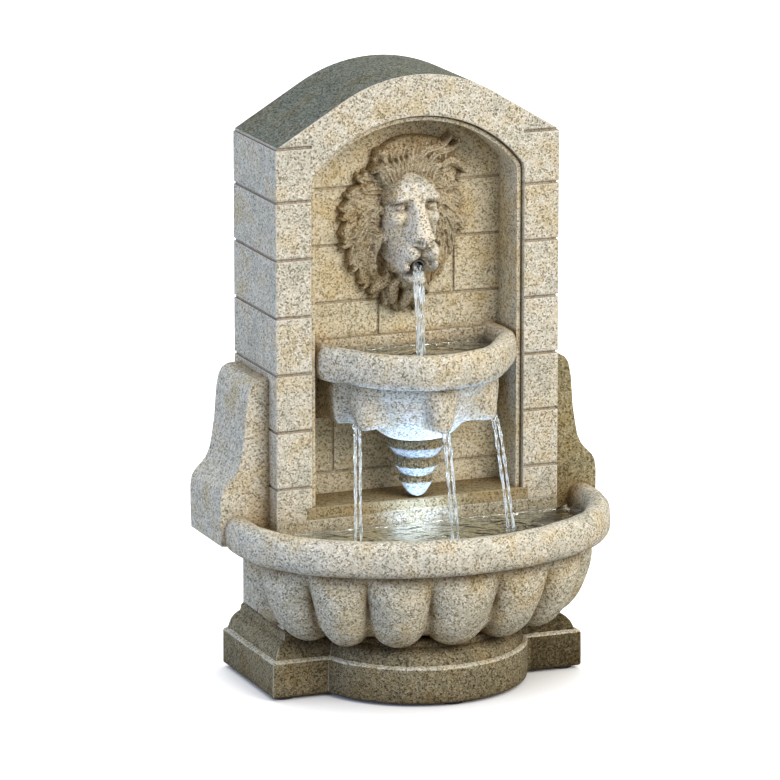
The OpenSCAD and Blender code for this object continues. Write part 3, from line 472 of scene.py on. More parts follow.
# %% [markdown]
# Behind the bowl the same casting has its pedestal, the deck under the wall, and the pump's sump. The
# solid has those, so its mesh is copied, and cuts take away the bowl that the carved wall replaces.

# %% Pedestal and sump
def cut(piece, point, way):
    """Cuts a mesh by a plane, drops the side that way points to, and fills the cut."""
    in_edit_mode(piece, lambda: bpy.ops.mesh.bisect(plane_co=[v * MM for v in point], plane_no=way,
        use_fill=True, clear_outer=True))


def copy_of(node, name):
    """A merged copy of a CAD node's mesh, as a piece of its own."""
    piece = link(bpy.data.objects.new(name, nodes[node].data.copy()))
    piece.data.name = name
    piece.data.materials.clear()
    only(close_up(piece, 0.002))
    if piece.data.has_custom_normals:
        bpy.ops.mesh.customdata_custom_splitnormals_clear()
    return piece


pedestal = copy_of("lower_basin", "pedestal_and_sump")
for point, way in (((0, WALL_Y + 0.05, 0), (0, -1, 0)), ((100.0, 0, 0), (1, 0, 0)), ((-100.0, 0, 0), (-1, 0, 0))):
    cut(pedestal, point, way)
finish(pedestal, 30, stone, (wet_stone, lambda x, y, z, n: (n[1] < -0.6) & (z > 47) & (y < WALL_Y + 1)))

# %% [markdown]
# The plinth has a straight face, a sharp arris that is paler, partly rubbed by years of dusting and
# partly a painted highlight, and above it a cove that runs in to the bowl's foot. Its plan is a block
# with a round bay. Each row of the sheet is that plan drawn in by the moulding's inset, so the mitres
# at the corners come by themselves.

# %% Plinth
PLINTH_HALF, PLINTH_FRONT, PLINTH_REAR, BAY_Y, BAY_R = 102.5, -5.0, 83.0, 16.4, 69.4
ARRIS_LOW, ARRIS_TOP = 23.5, 25.2


def plinth_plan(inset):
    """The block and its bay, drawn in by an inset, as a closed loop of points."""
    half, front, r = PLINTH_HALF - inset, PLINTH_FRONT + inset, BAY_R - inset
    meet = sqrt(r ** 2 - (BAY_Y - front) ** 2)
    turn = degrees(atan2(meet, BAY_Y - front))
    rear = min(PLINTH_REAR, PLINTH_REAR - inset + 13.3) if inset > 14 else PLINTH_REAR
    side = [(-half, y) for y in np.linspace(rear, front, 60)]
    side += [(x, front) for x in np.linspace(-half, -meet, 30)[1:-1]]
    loop = side + arc(0, BAY_Y, r, -turn, turn, 90) + [(-x, y) for x, y in side[::-1]]
    return np.array(loop + [(x, rear) for x in np.linspace(half, -half, 60)[1:]])


corners = [(20.5, 2), (1.2, 2), (0.3, 2.6), (0, 3.6), (0, 23.2), (0.35, 24.3), (1.2, 24.8), (2.6, 25.0), (3.4, 25.8),
    (4.0, 27.6), (5.2, 30.2), (7.2, 32.6), (9.6, 34.4), (11.2, 35.2), (11.6, 36.2), (12.0, 38.6), (13.3, 39.8),
    (16, 40.0)]
moulding = [(a + (b - a) * k / 4, c + (d - c) * k / 4)
    for (a, c), (b, d) in zip(corners[:-1], corners[1:]) for k in range(4)] + corners[-1:]
rows = [np.array([(x, y, z) for x, y in plinth_plan(inset)]) for inset, z in moulding]
top, bottom, heart = rows[-1], rows[0], np.array([0, 35.0, 0])
rows += [top * (1 - k) + (heart + (0, 0, 40)) * k for k in (0.5, 1.0)]
rows += [(bottom + (0, 0, 32)) * (1 - k) + (heart + (0, 0, 34)) * k for k in (1.0, 0.5, 0.0)]
grid = np.array(rows)
x, y, z = np.moveaxis(grid, -1, 0)
grid[..., 1] += waves(x, y, z, 20, 41) * 0.22 * (y < 60) * (z > 5)
grid[..., 2] += waves(x, y, z, 14, 42) * 0.2 * (z > 20) * (z < 39)
finish(sheet_of_points("plinth_moulded", grid, wrap=True), 50, shaded_plinth_stone,
    # The arris band's upward faces are paler: partly wear, partly painted highlight.
    (worn_and_highlit_arris_stone, lambda x, y, z, n: (z > ARRIS_LOW) & (z < ARRIS_TOP) & (n[2] > 0.05) & (y < 84)),
    # The right block gets the darker stone: painted shadow under the bowl's overhang.
    (overhang_shadow_stone, lambda x, y, z, n: (x > 68) & (n[1] < 0.5) & ((z < ARRIS_LOW) | (z > ARRIS_TOP))),
    replaces="plinth")

# %% [markdown]
# The upper basin hangs in the niche like a cut-off flower: a roll rim, drip lips below it, and hollows
# between them that run down to a short cone. The parts are made apart as closed forms. A voxel remesh
# grows them into one casting, and smoothing gives the soft inner corners that a rubber mould leaves.

# %% Plan of the upper basin
NICHE_Y, UP_Y, UP_R, UP_HALF, UP_SWEEP = 44.0, 16.0, 51.0, 60.0, 56.0


def upper_line(step=1.0):
    turn = radians(UP_SWEEP)
    half = arc(0, UP_Y, UP_R, 0, UP_SWEEP, 40)
    side_x, side_y = half[-1]
    knee_run = (UP_HALF - side_x) / cos(turn)
    half += [(side_x + k * knee_run * cos(turn), side_y + k * knee_run * sin(turn))
        for k in np.linspace(0, 1, 20)[1:]]
    half += [(UP_HALF, y) for y in np.linspace(half[-1][1], NICHE_Y, 20)[1:]]
    return even_steps(soften(spaced(mirrored(half), step=step), 16), step, 4)


up_pts, up_out = upper_line()
up_turn = np.degrees(np.arctan2(up_pts[:, 0], UP_Y - up_pts[:, 1]))
print("upper rim line:", len(up_pts), "points, turns", round(float(up_turn[0])), "to", round(float(up_turn[-1])))

# %% Upper basin
LIPS = [(0, 12.0), (-65, 11.5), (64, 12.5), (-113, 12.0), (113, 12.0)]  # middle and half width in degrees


def lip_share(turn, spread):
    """1 on a drip lip, 0 between the lips, with a round top and soft feet."""
    u = [np.clip(np.abs(turn - middle) / (half * spread), 0, 1) for middle, half in LIPS]
    return np.maximum.reduce([(1 - v ** 2) ** 0.8 for v in u])


def upper_shell():
    lip = outline([(4.5, 196), (4.0, 190), (2.6, 182), (1.8, 174), (2.0, 168), (4.4, 164.8), (8.6, 164.9),
        (13.5, 167.6), (20, 174)], 40)
    between = outline([(5.5, 196), (7.6, 190), (11, 182.5), (15.5, 175), (20, 168.6), (24.5, 163), (29, 159),
        (33, 157)], 40)
    spreads = np.interp(np.arange(40), [0, 14, 28, 39], [1.4, 1.25, 1.15, 1.0])
    share = np.stack([lip_share(up_turn, spread) for spread in spreads])
    share = np.maximum(share, 0.75 * np.clip((np.abs(up_turn) - 75) / 12, 0, 1))[..., None]
    ribs = laid(up_pts, up_out, lip[:, None] * share + between[:, None] * (1 - share))
    wall = outline([(6.2, 197), (10, 192), (16, 189), (24, 187.5)], 10)
    middle = np.array([0.0, NICHE_Y - 2])
    grid = np.concatenate(
        [laid(up_pts, up_out, roll_section(6, 205, 11, 90, -78, 22)), ribs]
        + inward(ribs[-1, :, :2], middle, 176.0, (0.3, 0.7, 1.0))
        + inward(up_pts - 24 * up_out, middle, 187.5, (1.0, 0.7, 0.3))
        + [laid(up_pts, up_out, wall[::-1]), laid(up_pts, up_out, roll_section(6, 205, 11, 250, 96, 18))])
    grid[..., 1] = np.minimum(grid[..., 1], NICHE_Y)
    return sheet_of_points("upper_basin_wall", grid, wrap=True, caps=True)


def turned(name, profile, steps=96):
    """A closed turned form about the upper basin's axis, from (radius, height) points."""
    angles = np.linspace(0, 2 * pi, steps + 1)
    r, high = np.array(profile, float).T[..., None]
    grid = np.stack([r * np.sin(angles), UP_Y - r * np.cos(angles), np.repeat(high, steps + 1, 1)], -1)
    return sheet_of_points(name, grid)


def within_basin(x, y, z, n):
    """Faces within the rim line and below the water line."""
    low = (z > 186) & (z < 208.5) & (y < NICHE_Y - 4.5)
    inset = np.zeros(len(x))
    inset[low] = [np.min(np.hypot(up_pts[:, 0] - a, up_pts[:, 1] - b)) for a, b in zip(x[low], y[low])]
    return low & (inset > 4.8) & (n[0] * x + n[1] * (y - 25) < 6)


cone = turned("basin_cone", [(0, 155.4), (19.6, 155.5), (23.5, 158), (28.5, 163), (33.5, 169.5), (37.5, 176),
    (40, 182), (40.5, 186), (0, 187)])
cut(cone, (0, NICHE_Y, 0), (0, 1, 0))
bpy.ops.mesh.primitive_cube_add(size=1, location=(0, (NICHE_Y - 2.5) * MM, 196.4 * MM))
bpy.context.active_object.scale = (118 * MM, 5 * MM, 34 * MM)
slab = settle("basin_back")
basin = upper_shell()
only(basin)
for part in (cone, slab):
    part.select_set(True)
bpy.ops.object.join()
basin.name = basin.data.name = "upper_basin_cast"
apply_modifier(basin, "REMESH", mode="VOXEL", voxel_size=0.75 * MM)
apply_modifier(basin, "SMOOTH", factor=0.5, iterations=5)
rows = points_of(basin)
x, y, z = rows.T
rows[:, 2] += waves(x, y, z, 18, 8) * 0.3
rows[:, :2] += (waves(x, y, z, 11, 9) * 0.22)[:, None] * np.stack([x, y - 30], 1) / np.hypot(x, y - 30)[:, None]
rows[:, 1] = np.minimum(rows[:, 1], NICHE_Y - 0.02)
move_points(basin, rows)
finish(basin, 60, stone, (wet_stone, within_basin), replaces="upper_basin")

# %% [markdown]
# The pendant is turned in tiers: each has a band that leans out and an underside that falls back to
# the next. Cast edges are never sharp, so the profile is softened before it is turned.

# %% Pendant
tiers = [(0, 155.6), (16.8, 155.6), (17.4, 155.2), (18.1, 149.4), (17.9, 148.6), (16.2, 147.2), (13.2, 142.6),
    (12.6, 142.2), (13.2, 141.8), (14.3, 137.0), (14.1, 136.2), (12.4, 134.8), (9.8, 130.8), (9.2, 130.4),
    (9.8, 130), (10.5, 126.4), (10.2, 125.6), (8.4, 122.2), (6.2, 118.9), (3.6, 116.6), (1.4, 115.9), (0, 115.8)]
pendant = turned("pendant_tiers", outline(tiers, 170), 90)
rows = points_of(pendant)
x, y, z = rows.T
rows[:, :2] += (waves(x, y, z, 10, 12) * 0.3)[:, None] * np.stack([x, y - UP_Y], 1) / 15
move_points(pendant, rows)
# Painted shade: faces of the tiers that don't face down get the darker plinth stone, where the lamp below doesn't light
# them.
finish(pendant, 60, damp_stone, (shaded_plinth_stone, lambda x, y, z, n: (n[2] > -0.3) & (z < 155)), replaces="pendant")

# %% [markdown]
# The lion is a relief: a height above the niche for every point of a fine grid, as a carver works clay
# on a board. Face forms are domes that run into each other, cuts are narrow dents, and each lock of
# the mane is a ribbed, tapering roll along a curve. The highest form wins at each point. A closed mesh
# is then laid over the heights, with its back just inside the niche.

# %% Relief tools
LION_X, HEAD_Z, LION_STEP = 1.0, 286, 0.42
ABSENT = -5.0  # the height given where a form isn't


def blend_max(a, b, soft):
    """The higher of two forms, with a fillet of about that size where they meet."""
    near = np.maximum(soft - np.abs(a - b), 0) / soft
    return np.maximum(a, b) + near * near * soft / 4


def leaned(x, z, at_x, at_z, tilt):
    c, s = cos(radians(tilt)), sin(radians(tilt))
    return (x - at_x) * c + (z - at_z) * s, -(x - at_x) * s + (z - at_z) * c


def dome(x, z, at_x, at_z, wide, tall, top, foot, tilt=0.0, square=2.0):
    """A dome on an ellipse; a higher square makes it flatter on top and steeper at its side."""
    u, v = leaned(x, z, at_x, at_z, tilt)
    r = np.clip(np.abs(u / wide) ** square + np.abs(v / tall) ** square, 0, 1)
    return np.where(r < 1, foot + (top - foot) * (1 - r) ** (1 / square), ABSENT)


def dent(x, z, at_x, at_z, wide, tall, depth, tilt=0.0):
    u, v = leaned(x, z, at_x, at_z, tilt)
    return depth * np.exp(-((u / wide) ** 2 + (v / tall) ** 2))


def path_near(x, z, pts):
    """Distance to a polyline, the share of the way along it, and the side."""
    best, along, side = np.full(x.shape, 1e9), np.zeros(x.shape), np.zeros(x.shape)
    for i, ((ax, az), (bx, bz)) in enumerate(zip(pts[:-1], pts[1:])):
        dx, dz = bx - ax, bz - az
        t = np.clip(((x - ax) * dx + (z - az) * dz) / (dx * dx + dz * dz), 0, 1)
        ex, ez = x - ax - t * dx, z - az - t * dz
        far = np.hypot(ex, ez)
        nearer = far < best
        best = np.where(nearer, far, best)
        along = np.where(nearer, (i + t) / (len(pts) - 1), along)
        side = np.where(nearer, np.sign(dx * ez - dz * ex), side)
    return best, along, side


def groove(x, z, pts, width, depth):
    return depth * np.exp(-(path_near(x, z, pts)[0] / width) ** 2)


def curve_of(p):
    """Points along a Bezier curve of four control points."""
    t = np.linspace(0, 1, 14)[:, None]
    p = np.array(p, float)
    return (1 - t) ** 3 * p[0] + 3 * t * (1 - t) ** 2 * p[1] + 3 * t * t * (1 - t) * p[2] + t ** 3 * p[3]


def lock(high, x, z, p, width, root, end, strands=3):
    """Lays one lock of mane on the heights: a tapering roll with strands, kept where it is highest."""
    pts = curve_of(p)
    lo, hi = pts.min(0) - width - 1, pts.max(0) + width + 1
    i0, i1 = np.searchsorted(z[:, 0], [lo[1], hi[1]])
    j0, j1 = np.searchsorted(x[0], [lo[0], hi[0]])
    part = (slice(i0, i1), slice(j0, j1))
    far, along, side = path_near(x[part], z[part], pts)
    wide = width * (0.55 + 0.75 * np.sin(np.pi * np.clip(along * 0.8 + 0.12, 0, 1)) ** 0.8) * (1 - 0.6 * along ** 2.6)
    q = np.clip(far / wide, 0, 1)
    body = (root + (end - root) * along) * (0.62 + 0.38 * np.sqrt(1 - q ** 2))
    rib = 0.95 * np.cos(np.pi * strands * side * q + 0.6) * (1 - q ** 3) * (1 - 0.4 * along)
    high[part] = np.maximum(high[part], np.where(q < 1, body + rib, ABSENT))


print("relief tools ready")

# %% Mane
# The mane's outline: clock angle in degrees and distance from the head's middle
MANE_TURN, MANE_REACH = np.array([
    (0, 49), (14, 48), (33, 47), (52, 42), (75, 41), (100, 43), (118, 39), (134, 41), (150, 45), (165, 52), (180, 58),
    (195, 55), (210, 50), (226, 47), (245, 45), (265, 42.5), (285, 42), (305, 42), (322, 41), (338, 44), (350, 47),
    (360, 49)], float).T
# Rows of locks: count, start, reach, half width, root, tip, swirl, bend, jitter, first angle
MANE_ROWS = ((36, 24, 1.0, 3.3, 9.5, 6.5, 9, 9, 2.5, 0), (28, 22, 0.84, 3.2, 12.5, 9, 10, 11, 4, 7),
    (20, 19, 0.62, 3.0, 15, 11.5, 12, 12, 5, 3))


def on_mane(*places):
    """Points from clock angles and distances from the middle of the head."""
    return [(LION_X + out * sin(radians(turn)), HEAD_Z + out * cos(radians(turn))) for turn, out in places]


def mane_heights(x, z):
    rng = np.random.RandomState(11)
    turn = np.degrees(np.arctan2(x - LION_X, z - HEAD_Z)) % 360
    share = np.hypot(x - LION_X, z - HEAD_Z) / np.interp(turn, MANE_TURN, MANE_REACH)
    high = np.where(share < 0.88, 4.0 * (1 - share ** 4) + 4, ABSENT)
    for count, start, reach, width, root, tip, swirl, bend, jitter, first in MANE_ROWS:
        for i in range(count):
            a = first + 360.0 * i / count + rng.uniform(-jitter, jitter)
            down = 1 if a % 360 < 180 else -1
            lean = down * swirl * (0.35 + sin(radians(a)) ** 2) * rng.uniform(0.7, 1.3)
            span = reach * np.interp((a + lean) % 360, MANE_TURN, MANE_REACH) - start
            p = on_mane((a, start), (a - down * bend, start + 0.45 * span),
                (a + lean + down * bend * 0.7, start + 0.85 * span),
                (a + lean * 1.25, (start + span) * rng.uniform(0.96, 1.01)))
            lock(high, x, z, p, width * rng.uniform(0.85, 1.2), root * rng.uniform(0.85, 1.15),
                tip * rng.uniform(0.8, 1.15))
    return high


print("mane outline reaches", MANE_REACH.min(), "to", MANE_REACH.max(), "mm from the head's middle")

# %% Face
BOTH = (-1, 1)  # the left and the right side
# Domes: fillet, x from the face's middle, z, half width, half height, top, foot, tilt, square
SKULL = [(3, 0.5, 303, 16.5, 12, 29, 2, 0, 3.0), (3, 0.5, 268, 13.5, 18, 24, 2, 0, 3.0)]
BROWS = [(4, 9.6, 303.2, 7.6, 4.6, 31.5, 20, -14, 2.0), (4, 11.6, 290, 5.6, 6.5, 28.5, 16, 20, 2.0)]
CHOPS = [(2.2, 6.6, 270, 7.4, 9, 41, 16, 8, 2.0), (2, 9.4, 262.6, 5.0, 8.0, 35, 10, -4, 2.4)]
MUZZLE = [(1.8, 0, 279.2, 8.2, 4.8, 45, 36, 0, 2.0), (1.8, 0, 275.6, 3.6, 3.4, 43.6, 35, 0, 2.0),
    (1.8, 0, 251.6, 7.4, 5.0, 34, 14, 0, 2.0), (1.8, 0, 250, 9.5, 8, 24, 4, 0, 2.0)]
# Grooves of one side, from the lids to the lips: points, half width, depth
FOLDS = [([(5.6, 295.8), (9.2, 299.6), (13.6, 297.8)], 0.6, 2.4), ([(5.8, 295), (10, 294), (13.6, 296.8)], 0.55, 1.4),
    ([(7.8, 286), (11.5, 281), (13.5, 271)], 1.3, 2.4), ([(5.2, 275.6), (7.6, 277.6), (8.2, 281.5)], 0.8, 2.4),
    ([(0, 266.4), (4.2, 265.6), (7.2, 263), (8.6, 256.5)], 0.9, 3.4)]
WHISKERS = (6.5, 272.5), (9.5, 271), (7, 268.6), (10.6, 267.4), (4.2, 270.8)


def domed(high, x, z, forms, sides=(1,)):
    """Blends domes into the heights, on one or both sides of the face."""
    for s in sides:
        for soft, at_x, *form, tilt, square in forms:
            high = blend_max(high, dome(x, z, s * at_x, *form, s * tilt, square), soft)
    return high


def face_heights(x, z):
    x = x - LION_X
    high = domed(dome(x, z, 0.5, 291, 17.5, 23.5, 27, 2, 0, 3.4), x, z, SKULL)
    high = domed(high, x, z, BROWS, BOTH)
    half = np.interp(z, [276, 284, 296, 309], [7.4, 6.2, 5.0, 7.0])
    bridge = np.interp(z, [276, 283, 300, 311], [44, 42, 33, 29]) - 7 * np.clip(np.abs(x) / half, 0, 1.6) ** 4
    high = blend_max(high, np.where((z > 275) & (z < 312) & (np.abs(x) < half * 1.6), bridge, ABSENT), 3)
    high = domed(high, x, z, [(2, 0, 270.5, 13.4, 14, 36, 6, 0, 2.6)])
    high = domed(domed(high, x, z, CHOPS, BOTH), x, z, MUZZLE)
    for s in BOTH:
        high = high - dent(x, z, s * 9.6, 297.6, 4.8, 2.6, 5.4, -s * 12) - dent(x, z, s * 5.4, 295, 2.0, 2.4, 2.4)
        high = np.maximum(high, dome(x, z, s * 9.8, 297.2, 3.9, 2.2, 28.0, 22, -s * 12))
        for fold, width, depth in FOLDS:
            high = high - groove(x, z, [(s * a, b) for a, b in fold], width, depth)
        high = high - dent(x, z, s * 3.9, 277.4, 1.8, 1.3, 4.6, s * 25)
        for a, b in WHISKERS:
            high = high - dent(x, z, s * a, b, 0.7, 0.7, 1.0)
    return high - groove(x, z, [(0, 276), (0, 267)], 0.8, 3.0) - groove(x, z, [(0, 312), (0, 300)], 2.4, 2.2)


print("face:", 2 * len(FOLDS) + 2, "grooves")

# %% Lion's head
# Locks that are laid one by one. TUFTS gives their points; BEARD and CHEEK give angle, start, end, half
# width, root, tip and bend.
TUFTS = ([(9, 324), (15, 332), (24, 325), (31.5, 336)], [(16, 322), (22, 330), (30, 324), (36, 331)],
    [(24, 318), (31, 324), (36, 318), (41, 312)])
BEARD = ((166, 38, 50, 3.0, 18, 10, 5), (180, 38, 57, 3.4, 22, 10, -4), (192, 38, 53, 3.2, 18, 10, 4),
    (174, 42, 59, 2.8, 14, 8, 5), (203, 36, 50, 3.0, 15, 9, -6))
CHEEK = ((72, 21, 31, 2.8, 14, 11, 12), (92, 21, 32, 2.8, 14, 11, 14), (110, 23, 33, 2.8, 13, 10, 12),
    (146, 33, 43, 2.8, 13, 9, 10))


def lion_heights():
    x, z = np.meshgrid(np.arange(-46, 48.01, LION_STEP), np.arange(224, 338.01, LION_STEP))
    high = np.maximum(mane_heights(x, z), face_heights(x, z))
    rng = np.random.RandomState(5)
    crown = dome(x, z, 9, 316, 27.5, 21, 10, 4, -5, 2.3)
    strands = 0.35 * np.cos((x + 0.12 * (z - 320) * (x - 4) / 12) * 1.9)
    high = np.maximum(high, crown + strands * (crown > 0) * np.clip((z - 318) / 6, 0, 1))

    def lay(*form):
        lock(high, x, z, *form)

    for k in range(13):
        foot, head = -13 + 2.35 * k, -21 + 3.75 * k
        p = [(foot, 311), (foot * 0.8 + head * 0.2 - 1.5, 317), (foot * 0.3 + head * 0.7 + 1.6, 321),
            (head, 326.5 - 0.035 * (head - 2) ** 2 / 2 + rng.uniform(-1, 1))]
        lay(p, rng.uniform(2.3, 3.6), 17.5, rng.uniform(11.5, 15))
    for k in range(13):
        head = -18 + 3.9 * k + rng.uniform(-1.6, 1.6)
        lean = rng.uniform(-2.4, 3.4)
        p = [(head * 0.85, 323), (head * 0.9 - 1.5, 327), (head * 0.95 + 1.5, 330),
            (head + lean, 335.8 - 0.018 * (head - 10) ** 2 + rng.uniform(-1.6, 0.4))]
        lay(p, rng.uniform(1.8, 3.2), rng.uniform(10.5, 12.5), rng.uniform(7, 10), 2)
    for p in TUFTS:
        lay(p, 2.6, 14, 10, 2)
    for a, start, end, width, root, tip, bend in BEARD:
        p = on_mane((a, start), (a + bend, start * 0.6 + end * 0.4),
            (a - bend, start * 0.25 + end * 0.75), (a - bend * 0.5, end))
        lay(p, width, root, tip)
    for s in BOTH:
        for a, start, end, width, root, tip, bend in CHEEK:
            p = on_mane((s * a, start), (s * (a - bend), (start + end) / 2), (s * (a + 6), end * 0.9),
                (s * (a + bend), end))
            lay(p, width, root, tip)
    for s in BOTH:
        beside = ((x - LION_X - s * 16.5) / 4.2) ** 2 + ((z - 262) / 12.5) ** 2
        low = np.minimum(high, 4 + 16 * np.clip(beside, 0, 1) ** 3)
        high = np.where((high > 0) & (beside < 1), low, high)
    mouth = ((x - 0.2) / 5.2) ** 2 + ((z - 260.8) / 4.9) ** 2
    high = np.where(mouth < 1, np.minimum(high, 22 + 16 * np.clip(mouth, 0, 1) ** 6), high)
    return x, z, high


def relief(name, x, z, high, wall_y, sink=0.3):
    """A closed mesh over heights, leaning out towards -Y from a wall, where a height is above 0.3."""
    up = np.maximum(high, 0)
    mid = (up[:-2, 1:-1] + up[2:, 1:-1] + up[1:-1, :-2] + up[1:-1, 2:] + 4 * up[1:-1, 1:-1]) / 8
    up[1:-1, 1:-1] = np.where(high[1:-1, 1:-1] > 0, mid, 0)
    solid = np.maximum.reduce([high[:-1, :-1], high[1:, :-1], high[:-1, 1:], high[1:, 1:]]) > 0.3
    ids = np.arange(x.size).reshape(x.shape)
    front = np.stack([part[solid] for part in (ids[:-1, :-1], ids[:-1, 1:], ids[1:, 1:], ids[1:, :-1])], 1)
    back = front[:, ::-1] + x.size
    once = {tuple(e) for k in range(4) for e in front[:, [k, (k + 1) % 4]].tolist()}
    sides = [(j, i, i + x.size, j + x.size) for i, j in once if (j, i) not in once]
    flat = np.stack([x, np.full(x.shape, wall_y + sink), z], -1).reshape(-1, 3)
    rows = np.concatenate([np.stack([x, wall_y - up, z], -1).reshape(-1, 3), flat])
    piece = mesh_piece(name, rows, front.tolist() + back.tolist() + sides)
    return close_up(in_edit_mode(piece, bpy.ops.mesh.delete_loose), 0.002)


finish(relief("lion_relief", *lion_heights(), NICHE_Y), 80, mask_stone,
    (face_stone, lambda x, y, z, n: ((x - LION_X) / 17.5) ** 2 + ((z - 283) / 33) ** 2 < 1),
    replaces="lion_mask", slot="mask_stone")

# %% [markdown]
# Every part that the CAD gives stays as it is and gets its own finish. Moulded plastics carry a fine
# eroded texture, rubbers are matte, the ceramic shaft is glossy, and the sponge has open cells. None is
# one flat colour: each has a small change of tone, and the moulded ones a change of roughness too.

# %% Moulded and bought-in parts
def moulded(name, colour, roughness, ior=1.5, size=0.6, relief_depth=0.1, tone=0.12, metallic=0.0, transmission=0.0):
    """A plastic, rubber, ceramic or metal with a fine surface pattern of about size mm."""
    material, tree, skin = blank(name)
    place = place_of(tree)
    fine = noise(tree, place, size, 3.0)
    darker = "#%02x%02x%02x" % ((int(255 * (1 - tone)),) * 3)
    shade = ramp(tree, noise(tree, place, 9), (0.3, darker), (0.7, WHITE))
    spread = times(tree, maths(tree, "SUBTRACT", fine, 0.5), 0.25)
    wire(tree, skin, {"Base Color": mixed(tree, 1.0, hexa(colour), shade, "MULTIPLY"), "Metallic": metallic,
        "Roughness": maths(tree, "ADD", spread, roughness, True),
        "Normal": bump(tree, fine, relief_depth, 0.2), "Transmission Weight": transmission})
    if not metallic:
        skin.inputs["IOR"].default_value = ior
    return material


def dress(node, material):
    nodes[node].data.materials.clear()
    nodes[node].data.materials.append(material)


FINISHES = {
    "rubber_feet": ("Rubber EPDM black", "#1d1d1e", 0.75, 1.52, 0.8, 0.2),
    "mouth_spout": ("PVC tube smoke", "#4a453c", 0.35, 1.53, 0.5, 0.05),
    "hose": ("PVC hose clear", "#dfe4e2", 0.12, 1.53, 3.0, 0.03, 0.05, 0.0, 0.9),
    "pump_body": ("ABS black eroded", "#1b1c1e", 0.5, 1.54, 0.5, 0.3),
    "pump_stator": ("Epoxy potted coil", "#6b3f22", 0.3, 1.55, 1.2, 0.25, 0.3),
    "impeller_cap": ("ABS black polished", "#222326", 0.3, 1.54, 0.5, 0.08),
    "impeller": ("Acetal white", "#e4e2dc", 0.35, 1.48, 0.7, 0.05, 0.06),
    "rotor_magnet": ("Ferrite magnet", "#2b2a2b", 0.55, 1.6, 0.4, 0.35, 0.2),
    "impeller_shaft": ("Alumina ceramic", "#f0ede4", 0.15, 1.76, 0.3, 0.03, 0.05),
    "intake_cover": ("ABS black grille", "#1d1e20", 0.45, 1.54, 0.5, 0.25),
    "flow_slider": ("Polypropylene grey", "#8a8d8f", 0.4, 1.49, 0.6, 0.12, 0.08),
    "suction_cups": ("PVC soft clear", "#c9cfce", 0.25, 1.53, 1.0, 0.05, 0.06, 0.0, 0.5),
    "lamp_housing": ("ABS white", "#d9dad7", 0.35, 1.54, 0.5, 0.12, 0.08),
    "lamp_seal": ("Silicone black", "#161617", 0.6, 1.41, 0.8, 0.1),
    "lamp_lens": ("Acrylic lens", "#f4f8fa", 0.05, 1.49, 2.0, 0.02, 0.02, 0.0, 1.0),
    "lamp_lead": ("PVC lead jacket", "#1a1a1b", 0.5, 1.53, 0.6, 0.1),
    "pump_lead": ("PVC lead jacket black", "#1a1a1c", 0.5, 1.53, 0.6, 0.1),
    "inlet_lead": ("PVC lead jacket short", "#1c1c1d", 0.5, 1.53, 0.6, 0.1),
    "lead_splitter": ("Nylon black", "#202122", 0.5, 1.53, 0.5, 0.2),
    "power_inlet": ("Nylon socket black", "#1a1b1c", 0.4, 1.53, 0.5, 0.15),
    "inlet_pin": ("Nickel plate pin", "#c9c3b6", 0.22, 1.5, 0.4, 0.03, 0.05, 1.0),
    "inlet_nut": ("Nickel plate nut", "#bdb8ad", 0.3, 1.5, 0.4, 0.08, 0.08, 1.0),
    "rear_cover": ("ABS beige textured", "#a79c84", 0.6, 1.54, 0.7, 0.4, 0.1),
}
for name, values in FINISHES.items():
    dress(name, moulded(*values))
print(len(FINISHES), "bought-in parts have their finish")

# %% Sponge, lamp board and stone nodes
sponge, tree, skin = blank("Polyurethane filter sponge")
cells = add(tree, "TexVoronoi", {"Vector": place_of(tree), "Scale": per_mm(1.6)}).outputs["Distance"]
# Painted shade: the cells' pits, which the bump sinks, are also darker.
wire(tree, skin, {"Base Color": ramp(tree, cells, (0.1, "#0d0f12"), (0.55, "#3a4148")),
    "Normal": bump(tree, cells, 0.9, 0.8), "Roughness": 0.95})
board, tree, skin = blank("Lamp board white")
traces = ramp(tree, noise(tree, place_of(tree), 2.5), (0.4, "#dfe6ea"), (0.6, "#f7fbff"))
wire(tree, skin, {"Base Color": traces, "Roughness": 0.35, "Emission Color": hexa("#dcebff"),
    "Emission Strength": 1.2})
# The right bracket gets the darker stone, painted shade; the left one gets the plain stone.
for name, material in (("intake_sponge", sponge), ("lamp_board", board), ("plinth", shaded_plinth_stone),
        ("wall_block", wall_stone), ("left_bracket", stone), ("right_bracket", shaded_bracket_stone),
        ("lower_basin", stone), ("upper_basin", stone), ("pendant", stone), ("lion_mask", mask_stone)):
    dress(name, material)
print("all", len(nodes), "nodes are finished")

# %% Wall and niche
finish(copy_of("wall_block", "wall_and_niche"), 30, wall_stone,
    (niche_stone, lambda x, y, z, n: (y > 13.6) & (y < 46) & (np.abs(x) < 73) & (z > 116) & (z < 352)),
    # The arch's upward faces get the darker stone: painted shade.
    (shaded_top_stone, lambda x, y, z, n: (z > 330) & (n[2] > 0.3) & (np.hypot(x, z - 280) > 75)),
    replaces="wall_block")

# %% [markdown]
# Water is clear, so it shows by what it bends and mirrors. A falling thread isn't a round rod: surface
# tension makes it a flat, twisting ribbon that thins as it speeds up, and air makes it frothy. The pool
# is a sheet with rings round each place where a thread lands.

